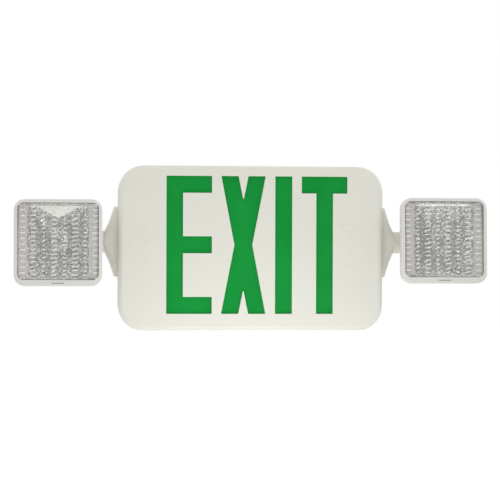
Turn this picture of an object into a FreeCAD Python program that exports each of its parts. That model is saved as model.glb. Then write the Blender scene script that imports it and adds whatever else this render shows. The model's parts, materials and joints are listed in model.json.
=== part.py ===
import FreeCAD, Part
import math
import os

# Emergency exit light: a sign box with a swivelling lamp head at each end.
#
# Frame: +X to the right seen from the front, +Y into the wall, +Z up. The origin is the centre of
# the supply entry hole, in the wall plane, so everything visible lies at negative Y. The pieces of a
# lamp are modelled for the right-hand end, facing straight ahead, and are mirrored for the left-hand
# end before each lamp is turned to its own rest pitch. All sizes are millimetres.

V = FreeCAD.Vector
X_AXIS = V(1, 0, 0)
Y_AXIS = V(0, 1, 0)
Z_AXIS = V(0, 0, 1)

# ---------------------------------------------------------------- driving dimensions: sign box
BODY_W = 293.5            # width of the box
BODY_H = 182.5            # height of the box
BODY_D = 54.0             # depth from the wall to the front face
BODY_R = 28.5             # corner radius seen from the front
WALL = 2.5                # moulded wall of housing and cover
COVER_D = 10.0            # depth of the cover's skirt
COVER_EDGE_R = 6.0        # soft edge round the front face
BACK_EDGE_R = 1.5         # small round at the wall edge
LAP_D = 4.0               # how far the housing's tongue reaches into the skirt
LAP_SHARE = 0.5           # part of the wall that the tongue takes
FIT_GAP = 0.15            # clearance of a moulded seat, per side
HOOK_SPREAD = 158.5       # between the two snap hooks along the top or bottom wall
HOOK_W = 10.0
HOOK_T = 1.6
HOOK_REACH = 6.0          # hook past the cover's rim
HOOK_BARB_L = 3.0
HOOK_BARB_D = 1.1         # barb into the housing wall

# ---------------------------------------------------------------- driving dimensions: legend and light box
CHEVRON_H = 43.8          # height of a directional chevron
CHEVRON_W = 37.1          # width from tip to the ends of its arms
CHEVRON_ARM = 17.6        # arm width along X
CHEVRON_EDGE = 10.7       # tip to the edge of the box
CHEVRON_Z = 4.5           # height of the tips above the box centre
SCORE_W = 0.6             # width of the knock-out score
SCORE_D = 0.4             # depth of the knock-out score
LEGEND_T = 2.0            # coloured panel behind the face
LEGEND_MARGIN = 6.0       # panel edge to the inside of the skirt
TRAY_T = 1.5              # light box wall
TRAY_D = 12.0             # light box depth
TRAY_MARGIN_X = 15.75     # light box to the outside of the housing, along X
TRAY_MARGIN_Z = 18.25     # light box to the outside of the housing, along Z
TRAY_R = 14.0
LED_BOARD_H = 9.0
LED_BOARD_T = 1.6
LED_BOARD_MARGIN = 7.0    # board end to the light box wall
LED_COUNT = 8             # on each board
LED_W = 3.5
LED_H = 2.8
LED_T = 1.9

# ---------------------------------------------------------------- driving dimensions: back and inside
ENTRY_R = 11.1            # supply entry hole
BOX_SCREW_SPACING = 88.9  # screw holes for the outlet box
BOX_SCREW_R = 2.4
POST_R = 4.0              # posts that carry the light box
POST_INSET = 11.0         # post centre to the light box edge, along X
POST_INSET_Z = 7.0        # post centre to the light box edge, along Z
SCREW_R = 1.4             # shank of the small screws
SCREW_HOLE_GAP = 0.05
SCREW_HEAD_R = 2.8
SCREW_HEAD_T = 1.6
SCREW_BITE = 5.0          # shank length inside what it holds to
BOARD_W = 84.0            # circuit board
BOARD_H = 60.0
BOARD_T = 1.6
BOARD_STANDOFF = 6.0
BOARD_Z = 36.0            # board centre above the entry hole
BOARD_HOLE_INSET = 5.0
TRANSFORMER_W = 34.0
TRANSFORMER_H = 28.0
TRANSFORMER_D = 21.0
CORE_H = 15.5              # height of the laminated core
BOBBIN_W = 22.0
BOBBIN_D = 17.0
CAPACITOR_R = 5.0
CAPACITOR_L = 20.0
CAPACITOR_PITCH = 13.0
CRIMP_R = 0.8             # crimp groove round the foot of the can
CRIMP_RISE = 3.0
RELAY_W = 19.0
RELAY_H = 15.0
RELAY_D = 14.0
RELAY_EDGE_R = 1.0
CELL_R = 11.25            # battery cell
CELL_L = 43.0
CELL_COUNT = 4
CELL_GAP = 0.4
CELL_CHAMFER = 0.8
CRADLE_T = 1.6
CRADLE_D = 12.0
BATTERY_RISE = 30.0       # bottom of the cells above the housing's bottom wall
STRAP_W = 12.0
STRAP_T = 1.0
TERMINAL_W = 30.0
TERMINAL_H = 16.0
TERMINAL_D = 12.0
TERMINAL_POLES = 3
TERMINAL_WELL_R = 3.2     # well over each screw
TERMINAL_WELL_D = 4.8
TERMINAL_WIRE_R = 2.5     # wire way behind the screws
TERMINAL_WIRE_D = 8.4
TERMINAL_DROP = 32.0      # below the entry hole

# ---------------------------------------------------------------- driving dimensions: test button and pilot
BUTTON_X = 70.0
BUTTON_Y = -24.0
BUTTON_R = 4.0
BUTTON_HOLE_GAP = 0.15
BUTTON_RECESS = 0.25      # button face inside the bottom face
BUTTON_EDGE_R = 0.5
BUTTON_FLANGE_R = 5.6
BUTTON_FLANGE_T = 1.2
BUTTON_STEM_R = 2.2
SHELF_RISE = 9.0          # underside of the switch shelf above the bottom wall
SHELF_T = 1.6
SHELF_W = 20.0
SHELF_HOLE_GAP = 0.6
STEM_SHY = 0.3            # stem tip below the top of the shelf
SPRING_WIRE_R = 0.35
SPRING_R = 3.6            # to the middle of the wire
SPRING_TURNS = 5
SPRING_TURN_RUNS = 14      # straight runs in one turn
SPRING_END_GAP = 0.05
SWITCH_W = 13.0
SWITCH_D = 11.0
SWITCH_H = 7.5
SWITCH_WELL = 3.0         # recess that the stem tip works in
PILOT_X = 86.0
PILOT_R = 2.5
PILOT_HOLE_GAP = 0.05
PILOT_FLANGE_R = 3.4
PILOT_FLANGE_T = 1.0
PILOT_BODY_L = 5.0
PILOT_EDGE_R = 1.0

# ---------------------------------------------------------------- driving dimensions: collar and swivel
SWIVEL_Y = -30.0          # swivel axis in front of the wall
SWIVEL_Z = 7.0            # swivel axis above the entry hole
COLLAR_HALF_H = 38.8      # flange of the trumpet collar
COLLAR_HALF_D = 13.5
COLLAR_SQUARE = 5.0       # superellipse power of the flange
COLLAR_LIP = 4.8          # thickness of the flange
COLLAR_EASE = 1.2         # eased front of the flange, along X
COLLAR_STEP = 0.7         # how far the eased front draws in
COLLAR_L = 14.4           # from the box to the end of the trumpet
COLLAR_END_R = 12.8
COLLAR_WAIST_L = 9.6      # where the trumpet is half swept in
COLLAR_WAIST_HALF_H = 23.6
COLLAR_WAIST_SQUARE = 2.6
COLLAR_WALL = 2.4
COLLAR_CORE_D = 3.0       # coring from the back
COLLAR_HUB_R = 12.0       # hub and the spigot it continues into
COLLAR_RIB_T = 1.6
SPIGOT_L = 2.5            # spigot past the inside of the housing wall
COLLAR_SCREW_Z = 27.0     # screws above and below the axis
COLLAR_BOSS_R = 4.0
COLLAR_SCREW_DEPTH = 2.9  # shank inside the collar
JOURNAL_R = 8.0
RUNNING_GAP = 0.05        # radial clearance of journals and pins
FACE_GAP = 0.1            # clearance between faces that turn on each other
STEM_BORE_R = 5.5         # way for the lamp lead
NECK_R = 12.05
NECK_L = 8.4
NECK_TAPER_L = 3.5
NECK_TIP_R = 6.6
LEAD_EXIT_R = 2.4
LEAD_EXIT_SHY = 0.4       # lead exit to the foot of the neck
STEM_BORE_PAST = 1.0      # bore past the foot of the taper
WASHER_T = 0.8
WASHER_R = 12.6
NUT_T = 5.0
NUT_ACROSS_FLATS = 24.0
JOURNAL_TAIL = 1.0        # journal past the nut
KNUCKLE_R = 6.0
KNUCKLE_TO_NECK = 6.5     # pin centre beyond the neck's tip
TONGUE_T = 9.0
EAR_T = 5.0
EAR_SPREAD = 16.0         # how far ahead of the axis the ears run onto the bowl
PIN_R = 2.0

# ---------------------------------------------------------------- driving dimensions: lamp head
HEAD_W = 95.5
HEAD_H = 94.3
HEAD_R = 12.0
HEAD_GAP = 17.4           # box side to the near edge of the head
HEAD_PROUD = 22.0         # head's front ahead of the cover
BEZEL_D = 6.0
BEZEL_MARGIN = 3.7        # frame width at the sides and the top
BEZEL_FOOT = 6.7          # frame width at the bottom
BEZEL_EDGE_R = 1.8
BEZEL_LIP = 1.5           # frame material in front of the lens
BEZEL_HOLD = 0.6          # overlap of frame and lens
BEZEL_SPIGOT_L = 3.0
BEZEL_SPIGOT_T = 1.2
WINDOW_R = 7.0
PRY_SLOT_W = 13.4
PRY_SLOT_H = 1.2
PRY_SLOT_D = 1.5
SHELL_T = 2.2
BAND_D = 8.0              # straight band of the shell behind the frame
BAND_EDGE_R = 1.3
BOWL_STEP_X = 8.0         # band to the bowl at the sides
BOWL_STEP_Z = 3.7         # band to the bowl at the top and the bottom
BOWL_D = 42.0
BOWL_DRAW = 18.75         # how far each side of the bowl draws in to its back
BOWL_BACK_HALF_H = 21.0
BOWL_R = 12.0
LENS_T = 1.2              # flat front of the lens
PRISM_PITCH = 6.2
PRISM_D = 1.3
PRISM_MARGIN = 4.0
FLANGE_X = 11.4           # reflector's flange beside the dish
FLANGE_Z = 2.6            # reflector's flange above and below the dish
DISH_FLOOR = 24.0
DISH_T = 1.2
DISH_D = 20.0
DISH_R = 9.0
CORNER_POST_R = 2.6
CORNER_POST_INSET = 6.5   # post centre to the edge of the lens
LAMP_BOARD_R = 12.0
CENTRE_POST_R = 7.0       # post that carries the lamp board
LAMP_BOARD_T = 1.6
LAMP_LED_R = 4.0
LAMP_LED_T = 1.5
LAMP_DOME_R = 2.8
LEAD_HOLE_R = 2.5
FLAP_INSET = 8.5          # ends of the glare flap to the sides of the dish
FLAP_H = 13.4
FLAP_T = 0.8

REST_PITCH = {"left": -2.0, "right": 3.0}   # degrees, positive looks up

ROUND_LIMIT = 0.98        # a corner radius stays under this share of the half width
CURVE_POINTS = 48         # points that a superellipse passes through
MITRED = 1                # sweep whose runs meet in a mitre

# ---------------------------------------------------------------- places worked out from the sizes
SIDE_X = BODY_W / 2
BODY_BOTTOM = -BODY_H / 2
FLOOR_IN = BODY_BOTTOM + WALL
JOINT_Y = -(BODY_D - COVER_D)
FACE_Y = -BODY_D
LEGEND_FRONT = FACE_Y + WALL
LEGEND_BACK = LEGEND_FRONT + LEGEND_T
TRAY_W = BODY_W - 2 * TRAY_MARGIN_X
TRAY_H = BODY_H - 2 * TRAY_MARGIN_Z
TRAY_BACK = LEGEND_BACK + TRAY_D
TRAY_FLOOR = TRAY_BACK - TRAY_T
POST_X = TRAY_W / 2 - POST_INSET
POST_Z = TRAY_H / 2 - POST_INSET_Z
BOARD_BACK = -WALL - BOARD_STANDOFF
BOARD_FRONT = BOARD_BACK - BOARD_T
BOARD_X = -(POST_X - POST_R - POST_R - BOARD_W / 2)
CELL_PITCH = 2 * CELL_R + CELL_GAP
BATTERY_W = CELL_COUNT * CELL_PITCH - CELL_GAP
BATTERY_X = POST_X - POST_R - BATTERY_W / 2
BATTERY_FOOT = FLOOR_IN + BATTERY_RISE
CELL_Y = -WALL - CELL_R - CELL_GAP
SHELF_UNDER = FLOOR_IN + SHELF_RISE
SHELF_TOP = SHELF_UNDER + SHELF_T
COLLAR_END_X = SIDE_X + COLLAR_L
NECK_X = COLLAR_END_X + FACE_GAP
NECK_TIP_X = NECK_X + NECK_L + NECK_TAPER_L
KNUCKLE_X = NECK_TIP_X + KNUCKLE_TO_NECK
SPIGOT_END_X = SIDE_X - WALL - SPIGOT_L
HEAD_X = SIDE_X + HEAD_GAP + HEAD_W / 2
HEAD_FRONT = FACE_Y - HEAD_PROUD
BEZEL_BACK = HEAD_FRONT + BEZEL_D
BAND_BACK = BEZEL_BACK + BAND_D
BOWL_BACK = BAND_BACK + BOWL_D
BOWL_HALF_W = HEAD_W / 2 - BOWL_STEP_X
BOWL_HALF_H = HEAD_H / 2 - BOWL_STEP_Z
BOWL_BACK_HALF_W = BOWL_HALF_W - BOWL_DRAW
WINDOW_W = HEAD_W - 2 * BEZEL_MARGIN
WINDOW_H = HEAD_H - BEZEL_MARGIN - BEZEL_FOOT
WINDOW_Z = SWIVEL_Z + (BEZEL_FOOT - BEZEL_MARGIN) / 2
LENS_W = WINDOW_W + 2 * BEZEL_HOLD
LENS_H = WINDOW_H + 2 * BEZEL_HOLD
LENS_R = WINDOW_R + BEZEL_HOLD
LENS_FRONT = HEAD_FRONT + BEZEL_LIP
LENS_BACK = LENS_FRONT + LENS_T + PRISM_D
DISH_W = LENS_W - 2 * FLANGE_X
DISH_H = LENS_H - 2 * FLANGE_Z
DISH_FRONT = LENS_BACK
DISH_BACK = DISH_FRONT + DISH_D
LAMP_BOARD_BACK = DISH_BACK + LAMP_BOARD_T


# ---------------------------------------------------------------- shared shapes
def rounded_rect(width, height, radius, y, cx=0.0, cz=0.0):
    """Closed wire of a rounded rectangle in the plane at y."""
    w = width / 2
    h = height / 2
    r = min(radius, w * ROUND_LIMIT, h * ROUND_LIMIT)
    k = r * (1 - math.sqrt(0.5))
    edges = []
    for sx, sz in ((1, 1), (-1, 1), (-1, -1), (1, -1)):
        side = V(cx + sx * w, y, cz + sz * (h - r))
        end = V(cx + sx * (w - r), y, cz + sz * h)
        middle = V(cx + sx * (w - k), y, cz + sz * (h - k))
        start, stop = (side, end) if sx * sz > 0 else (end, side)
        if edges:
            edges.append(Part.makeLine(edges[-1].lastVertex().Point, start))
        edges.append(Part.Arc(start, middle, stop).toShape())
    edges.append(Part.makeLine(edges[-1].lastVertex().Point, edges[0].firstVertex().Point))
    return Part.Wire(edges)


def slab(width, height, radius, y_back, y_front, cx=0.0, cz=0.0):
    """Rounded rectangular block between two planes across Y."""
    face = Part.Face(rounded_rect(width, height, radius, y_back, cx, cz))
    return face.extrude(V(0, y_front - y_back, 0))


def block(width, depth, height, cx, y_back, cz):
    """Plain box: centred on cx and cz, reaching forward from y_back by depth."""
    return Part.makeBox(width, depth, height, V(cx - width / 2, y_back - depth, cz - height / 2))


def rod(radius, length, base, axis):
    """Round bar from a base point along an axis."""
    return Part.makeCylinder(radius, length, base, axis)


def superellipse(x, half_y, half_z, power):
    """Closed smooth curve across X about the swivel axis, from a circle to a soft rectangle."""
    points = []
    for i in range(CURVE_POINTS):
        angle = 2 * math.pi * i / CURVE_POINTS
        c = abs(math.cos(angle)) / half_y
        s = abs(math.sin(angle)) / half_z
        reach = (c ** power + s ** power) ** (-1 / power)
        points.append(V(x, SWIVEL_Y + reach * math.cos(angle), SWIVEL_Z + reach * math.sin(angle)))
    curve = Part.BSplineCurve()
    curve.interpolate(Points=points, PeriodicFlag=True)
    return Part.Wire(curve.toShape())


def round_edges(shape, radius, chosen):
    """Fillet of every edge that the test picks."""
    edges = [edge for edge in shape.Edges if chosen(edge)]
    return shape.makeFillet(radius, edges)


def lies_at_y(edge, y):
    """True for an edge that lies wholly in the plane at y."""
    return abs(edge.BoundBox.YMin - y) < 0.01 and abs(edge.BoundBox.YMax - y) < 0.01


def lies_at_z(edge, z):
    """True for an edge that lies wholly in the plane at z."""
    return abs(edge.BoundBox.ZMin - z) < 0.01 and abs(edge.BoundBox.ZMax - z) < 0.01


def one_solid(shape):
    """The single solid of a fused shape, with seams between coplanar faces removed."""
    clean = shape.removeSplitter()
    assert len(clean.Solids) == 1, "a piece came apart"
    return clean.Solids[0]


def screw(head_seat, axis, shank):
    """Pan-head screw: the head's underside is at head_seat and the shank runs along axis."""
    back = V(axis).multiply(-SCREW_HEAD_T)
    head = rod(SCREW_HEAD_R, SCREW_HEAD_T, head_seat + back, axis)
    return head.fuse(rod(SCREW_R, shank, head_seat, axis))


# ---------------------------------------------------------------- sign box
def post_places():
    """Centres of the four posts that carry the light box."""
    return [(sx * POST_X, sz * POST_Z) for sx in (-1, 1) for sz in (-1, 1)]


def board_hole_places():
    """Centres of the four holes of the circuit board."""
    dx = BOARD_W / 2 - BOARD_HOLE_INSET
    dz = BOARD_H / 2 - BOARD_HOLE_INSET
    return [(BOARD_X + sx * dx, BOARD_Z + sz * dz) for sx in (-1, 1) for sz in (-1, 1)]


def post(x, z, radius, y_front, hole_depth):
    """Round post on the housing's back wall with a blind screw hole in its end."""
    body = rod(radius, -WALL - y_front, V(x, y_front, z), Y_AXIS)
    hole = rod(SCREW_R + SCREW_HOLE_GAP, hole_depth, V(x, y_front, z), Y_AXIS)
    return body.cut(hole)


def hook_places():
    """Centres of the cover's snap hooks along the top and bottom walls."""
    return [(sx * HOOK_SPREAD / 2, sz) for sx in (-1, 1) for sz in (-1, 1)]


def hook_barb(x, side, grow):
    """Wedge of a snap hook, or with grow its pocket in the housing wall."""
    wall_in = side * (BODY_H / 2 - WALL)
    reach = side * (HOOK_BARB_D + grow)
    y0 = JOINT_Y + HOOK_REACH - HOOK_BARB_L - grow
    y1 = JOINT_Y + HOOK_REACH + grow
    half = HOOK_W / 2 + grow
    base = wall_in - side * FIT_GAP * 2
    points = [V(x - half, y0, base), V(x - half, y0, wall_in + reach), V(x - half, y1, base)]
    return Part.Face(Part.makePolygon(points + points[:1])).extrude(V(2 * half, 0, 0))


def cradle():
    """Open frame of ribs that holds the battery cells on the back wall."""
    width = BATTERY_W + 2 * CELL_GAP
    height = CELL_L + CELL_GAP
    cz = BATTERY_FOOT + height / 2
    outer = block(width + 2 * CRADLE_T, CRADLE_D, height + 2 * CRADLE_T, BATTERY_X, -WALL, cz)
    inner = block(width, CRADLE_D, height, BATTERY_X, -WALL, cz)
    return outer.cut(inner)


def switch_shelf():
    """Shelf above the test button, with a guide hole for its stem and a rib under each end."""
    reach = -WALL - BUTTON_Y + SWITCH_D / 2 + SHELF_T
    plate = block(SHELF_W, reach, SHELF_T, BUTTON_X, -WALL, SHELF_UNDER + SHELF_T / 2)
    hole = rod(BUTTON_STEM_R + SHELF_HOLE_GAP, SHELF_T, V(BUTTON_X, BUTTON_Y, SHELF_UNDER), Z_AXIS)
    plate = plate.cut(hole)
    for side in (-1, 1):
        x = BUTTON_X + side * (SHELF_W - SHELF_T) / 2
        plate = plate.fuse(block(SHELF_T, reach, SHELF_RISE, x, -WALL, FLOOR_IN + SHELF_RISE / 2))
    return plate


def back_housing():
    """Tray against the wall, open to the front, with its posts, ribs, shelf and side openings."""
    outer = slab(BODY_W, BODY_H, BODY_R, 0, JOINT_Y)
    outer = round_edges(outer, BACK_EDGE_R, lambda edge: lies_at_y(edge, 0))
    inset = WALL * (1 - LAP_SHARE) + FIT_GAP
    tongue = slab(BODY_W - 2 * inset, BODY_H - 2 * inset, BODY_R - inset, JOINT_Y, JOINT_Y - LAP_D)
    inside = slab(BODY_W - 2 * WALL, BODY_H - 2 * WALL, BODY_R - WALL, -WALL, JOINT_Y - LAP_D)
    shell = outer.fuse(tongue).cut(inside)
    bite = SCREW_BITE + SCREW_HOLE_GAP
    adds = [post(x, z, POST_R, TRAY_BACK, bite) for x, z in post_places()]
    adds += [post(x, z, SCREW_HEAD_R, BOARD_BACK, bite) for x, z in board_hole_places()]
    adds += [cradle(), switch_shelf()]
    shell = shell.fuse(adds)
    cuts = [rod(ENTRY_R, WALL, V(0, 0, 0), -Y_AXIS)]
    cuts += [rod(BOX_SCREW_R, WALL, V(s * BOX_SCREW_SPACING / 2, 0, 0), -Y_AXIS) for s in (-1, 1)]
    cuts += [hook_barb(x, side, FIT_GAP) for x, side in hook_places()]
    cuts += [rod(BUTTON_R + BUTTON_HOLE_GAP, WALL, V(BUTTON_X, BUTTON_Y, BODY_BOTTOM), Z_AXIS)]
    cuts += [rod(PILOT_R + PILOT_HOLE_GAP, WALL, V(PILOT_X, BUTTON_Y, BODY_BOTTOM), Z_AXIS)]
    for side in (-1, 1):
        wall_x = side * (SIDE_X - WALL)
        out = V(side, 0, 0)
        cuts.append(rod(COLLAR_HUB_R + FIT_GAP, WALL, V(wall_x, SWIVEL_Y, SWIVEL_Z), out))
        for dz in (-COLLAR_SCREW_Z, COLLAR_SCREW_Z):
            cuts.append(rod(SCREW_R + SCREW_HOLE_GAP, WALL, V(wall_x, SWIVEL_Y, SWIVEL_Z + dz), out))
    return one_solid(shell.cut(cuts))


def chevron(side, inset):
    """Flat chevron face with its tip towards the side, drawn in by inset all round."""
    tip = SIDE_X - CHEVRON_EDGE
    half = CHEVRON_H / 2
    arm_end = tip - CHEVRON_W
    corner = arm_end + CHEVRON_ARM
    notch = tip - CHEVRON_ARM
    outline = [(tip, 0), (corner, half), (arm_end, half), (notch, 0), (arm_end, -half), (corner, -half)]
    points = [V(side * x, FACE_Y, CHEVRON_Z + z) for x, z in outline]
    wire = Part.makePolygon(points + points[:1])
    if inset:
        wire = wire.makeOffset2D(-inset)
    return Part.Face(wire)


def front_cover():
    """Snap-on cover: soft-edged face with the chevron scores, skirt and snap hooks."""
    outer = slab(BODY_W, BODY_H, BODY_R, JOINT_Y, FACE_Y)
    outer = round_edges(outer, COVER_EDGE_R, lambda edge: lies_at_y(edge, FACE_Y))
    inner_w = BODY_W - 2 * WALL
    inner_h = BODY_H - 2 * WALL
    inside = slab(inner_w, inner_h, BODY_R - WALL, JOINT_Y, LEGEND_FRONT)
    inside = round_edges(inside, COVER_EDGE_R - WALL, lambda edge: lies_at_y(edge, LEGEND_FRONT))
    lap = 2 * WALL * (1 - LAP_SHARE)
    rebate = slab(BODY_W - lap, BODY_H - lap, BODY_R - lap / 2, JOINT_Y, JOINT_Y - LAP_D - FIT_GAP)
    cover = outer.cut([inside, rebate])
    hooks = []
    for x, side in hook_places():
        arm_z = side * (BODY_H / 2 - WALL - FIT_GAP - HOOK_T / 2)
        arm_end = JOINT_Y + HOOK_REACH
        hooks.append(block(HOOK_W, arm_end - LEGEND_FRONT, HOOK_T, x, arm_end, arm_z))
        hooks.append(hook_barb(x, side, 0))
    cover = cover.fuse(hooks)
    scores = []
    for side in (-1, 1):
        ring = chevron(side, 0).cut(chevron(side, SCORE_W))
        scores.append(ring.extrude(V(0, SCORE_D, 0)))
    return one_solid(cover.cut(scores))


def legend_lens():
    """Coloured translucent panel that lies against the back of the face."""
    inset = 2 * (WALL + LEGEND_MARGIN)
    return slab(BODY_W - inset, BODY_H - inset, BODY_R - inset / 2, LEGEND_BACK, LEGEND_FRONT)


def light_box():
    """White tray behind the legend, screwed to the housing posts."""
    outer = slab(TRAY_W, TRAY_H, TRAY_R, TRAY_BACK, LEGEND_BACK)
    inside = slab(TRAY_W - 2 * TRAY_T, TRAY_H - 2 * TRAY_T, TRAY_R - TRAY_T, TRAY_FLOOR, LEGEND_BACK)
    holes = [rod(SCREW_R + SCREW_HOLE_GAP, TRAY_T, V(x, TRAY_FLOOR, z), Y_AXIS) for x, z in post_places()]
    return one_solid(outer.cut([inside] + holes))


def light_box_screws():
    """Four screws that hold the light box to the posts."""
    shank = TRAY_T + SCREW_BITE
    return Part.makeCompound([screw(V(x, TRAY_FLOOR, z), Y_AXIS, shank) for x, z in post_places()])


def led_board_z(side):
    """Height of the upper (1) or lower (-1) LED board's centre."""
    post_side = POST_Z - SCREW_HEAD_R - LED_BOARD_H / 2 - FIT_GAP
    return side * post_side


def led_board(side):
    """LED board along the top or bottom of the light box."""
    length = TRAY_W - 2 * (TRAY_T + LED_BOARD_MARGIN)
    return block(length, LED_BOARD_T, LED_BOARD_H, 0, TRAY_FLOOR, led_board_z(side))


def sign_leds():
    """The light-emitting chips on both boards."""
    span = TRAY_W - 2 * (TRAY_T + LED_BOARD_MARGIN + LED_BOARD_H)
    chips = []
    for side in (-1, 1):
        for i in range(LED_COUNT):
            x = span * (i / (LED_COUNT - 1) - 0.5)
            chips.append(block(LED_W, LED_T, LED_H, x, TRAY_FLOOR - LED_BOARD_T, led_board_z(side)))
    return Part.makeCompound(chips)


# ---------------------------------------------------------------- electrics in the housing
def circuit_board():
    """Charger and transfer board on four posts."""
    board = block(BOARD_W, BOARD_T, BOARD_H, BOARD_X, BOARD_BACK, BOARD_Z)
    hole_r = SCREW_R + SCREW_HOLE_GAP
    holes = [rod(hole_r, BOARD_T, V(x, BOARD_FRONT, z), Y_AXIS) for x, z in board_hole_places()]
    return one_solid(board.cut(holes))


def board_screws():
    """Four screws that hold the circuit board."""
    shank = BOARD_T + SCREW_BITE
    return Part.makeCompound([screw(V(x, BOARD_FRONT, z), Y_AXIS, shank) for x, z in board_hole_places()])


def transformer():
    """Laminated core with its bobbin standing proud through the window."""
    cx = BOARD_X - BOARD_W / 2 + BOARD_HOLE_INSET * 2 + TRANSFORMER_W / 2
    core = block(TRANSFORMER_W, TRANSFORMER_D, CORE_H, cx, BOARD_FRONT, BOARD_Z)
    bobbin = block(BOBBIN_W, BOBBIN_D, TRANSFORMER_H, cx, BOARD_FRONT, BOARD_Z)
    return one_solid(core.fuse(bobbin))


def relay():
    """Transfer relay in its sealed case."""
    cx = BOARD_X + BOARD_W / 2 - BOARD_HOLE_INSET * 2 - RELAY_W / 2
    cz = BOARD_Z - BOARD_H / 2 + BOARD_HOLE_INSET * 2 + RELAY_H / 2
    case = block(RELAY_W, RELAY_D, RELAY_H, cx, BOARD_FRONT, cz)
    return round_edges(case, RELAY_EDGE_R, lambda edge: lies_at_y(edge, BOARD_FRONT - RELAY_D))


def capacitors():
    """Two electrolytic capacitors with crimped cans."""
    cans = []
    for i in (0, 1):
        cx = BOARD_X + BOARD_W / 2 - BOARD_HOLE_INSET * 2 - CAPACITOR_R - i * CAPACITOR_PITCH
        cz = BOARD_Z + BOARD_H / 2 - BOARD_HOLE_INSET * 2 - CAPACITOR_R
        can = rod(CAPACITOR_R, CAPACITOR_L, V(cx, BOARD_FRONT, cz), -Y_AXIS)
        crimp = V(cx, BOARD_FRONT - CRIMP_RISE, cz)
        groove = Part.makeTorus(CAPACITOR_R + CRIMP_R / 2, CRIMP_R, crimp, Y_AXIS)
        cans.append(can.cut(groove))
    return Part.makeCompound(cans)


def terminal_block():
    """Screw terminal block for the supply leads."""
    cz = -TERMINAL_DROP
    body = block(TERMINAL_W, TERMINAL_D, TERMINAL_H, 0, -WALL, cz)
    front = -WALL - TERMINAL_D
    pitch = TERMINAL_W / TERMINAL_POLES
    cuts = []
    for i in range(TERMINAL_POLES):
        x = pitch * (i - (TERMINAL_POLES - 1) / 2)
        cuts.append(rod(TERMINAL_WELL_R, TERMINAL_WELL_D, V(x, front, cz), Y_AXIS))
        foot = V(x, front + TERMINAL_WIRE_D, cz - TERMINAL_H / 2)
        cuts.append(rod(TERMINAL_WIRE_R, TERMINAL_H, foot, Z_AXIS))
    return one_solid(body.cut(cuts))


def battery_cells():
    """Rechargeable cells standing side by side in the cradle."""
    cells = []
    for i in range(CELL_COUNT):
        x = BATTERY_X + CELL_PITCH * (i - (CELL_COUNT - 1) / 2)
        cell = rod(CELL_R, CELL_L, V(x, CELL_Y, BATTERY_FOOT), Z_AXIS)
        cells.append(cell.makeChamfer(CELL_CHAMFER, [e for e in cell.Edges if e.Closed]))
    return Part.makeCompound(cells)


def battery_strap():
    """Band over the cells with its feet on the back wall outside the cradle."""
    half = BATTERY_W / 2 + CELL_GAP + CRADLE_T + FIT_GAP
    front = CELL_Y - CELL_R - FIT_GAP - STRAP_T
    cz = BATTERY_FOOT + CELL_L / 2
    depth = -WALL - front
    outer = block(2 * (half + STRAP_T), depth, STRAP_W, BATTERY_X, -WALL, cz)
    inner = block(2 * half, depth - STRAP_T, STRAP_W, BATTERY_X, -WALL, cz)
    return one_solid(outer.cut(inner))


# ---------------------------------------------------------------- test button and pilot light
def test_button():
    """Flush button: cap through the bottom wall, stop flange inside, and the stem to the switch."""
    base = V(BUTTON_X, BUTTON_Y, BODY_BOTTOM + BUTTON_RECESS)
    cap = rod(BUTTON_R, WALL - BUTTON_RECESS, base, Z_AXIS)
    cap = round_edges(cap, BUTTON_EDGE_R, lambda edge: lies_at_z(edge, base.z))
    flange = rod(BUTTON_FLANGE_R, BUTTON_FLANGE_T, V(BUTTON_X, BUTTON_Y, FLOOR_IN), Z_AXIS)
    stem = rod(BUTTON_STEM_R, SHELF_TOP - STEM_SHY - FLOOR_IN, V(BUTTON_X, BUTTON_Y, FLOOR_IN), Z_AXIS)
    return one_solid(cap.fuse([flange, stem]))


def button_spring():
    """Compression spring between the button's flange and the shelf, coiled as a chain of short runs."""
    low = FLOOR_IN + BUTTON_FLANGE_T + SPRING_WIRE_R + SPRING_END_GAP
    height = SHELF_UNDER - SPRING_WIRE_R - SPRING_END_GAP - low
    runs = SPRING_TURNS * SPRING_TURN_RUNS
    points = []
    for i in range(runs + 1):
        angle = 2 * math.pi * i / SPRING_TURN_RUNS
        around = V(SPRING_R * math.cos(angle), SPRING_R * math.sin(angle), height * i / runs)
        points.append(V(BUTTON_X, BUTTON_Y, low) + around)
    ring = Part.makeCircle(SPRING_WIRE_R, points[0], points[1] - points[0])
    return Part.makePolygon(points).makePipeShell([Part.Wire([ring])], True, True, MITRED)


def test_switch():
    """Switch body on the shelf, with a well under it that the stem tip works in."""
    body = block(SWITCH_W, SWITCH_D, SWITCH_H, BUTTON_X, BUTTON_Y + SWITCH_D / 2, SHELF_TOP + SWITCH_H / 2)
    well = rod(BUTTON_STEM_R + SHELF_HOLE_GAP, SWITCH_WELL, V(BUTTON_X, BUTTON_Y, SHELF_TOP), Z_AXIS)
    return one_solid(body.cut(well))


def pilot_light():
    """Indicator lens through the bottom wall, flange inside."""
    shank = rod(PILOT_R, WALL + PILOT_BODY_L, V(PILOT_X, BUTTON_Y, BODY_BOTTOM), Z_AXIS)
    shank = round_edges(shank, PILOT_EDGE_R, lambda edge: lies_at_z(edge, BODY_BOTTOM))
    flange = rod(PILOT_FLANGE_R, PILOT_FLANGE_T, V(PILOT_X, BUTTON_Y, FLOOR_IN), Z_AXIS)
    return one_solid(shank.fuse(flange))


# ---------------------------------------------------------------- collar and swivel, right-hand
def axis_point(x):
    """Point of the swivel axis at x."""
    return V(x, SWIVEL_Y, SWIVEL_Z)


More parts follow.
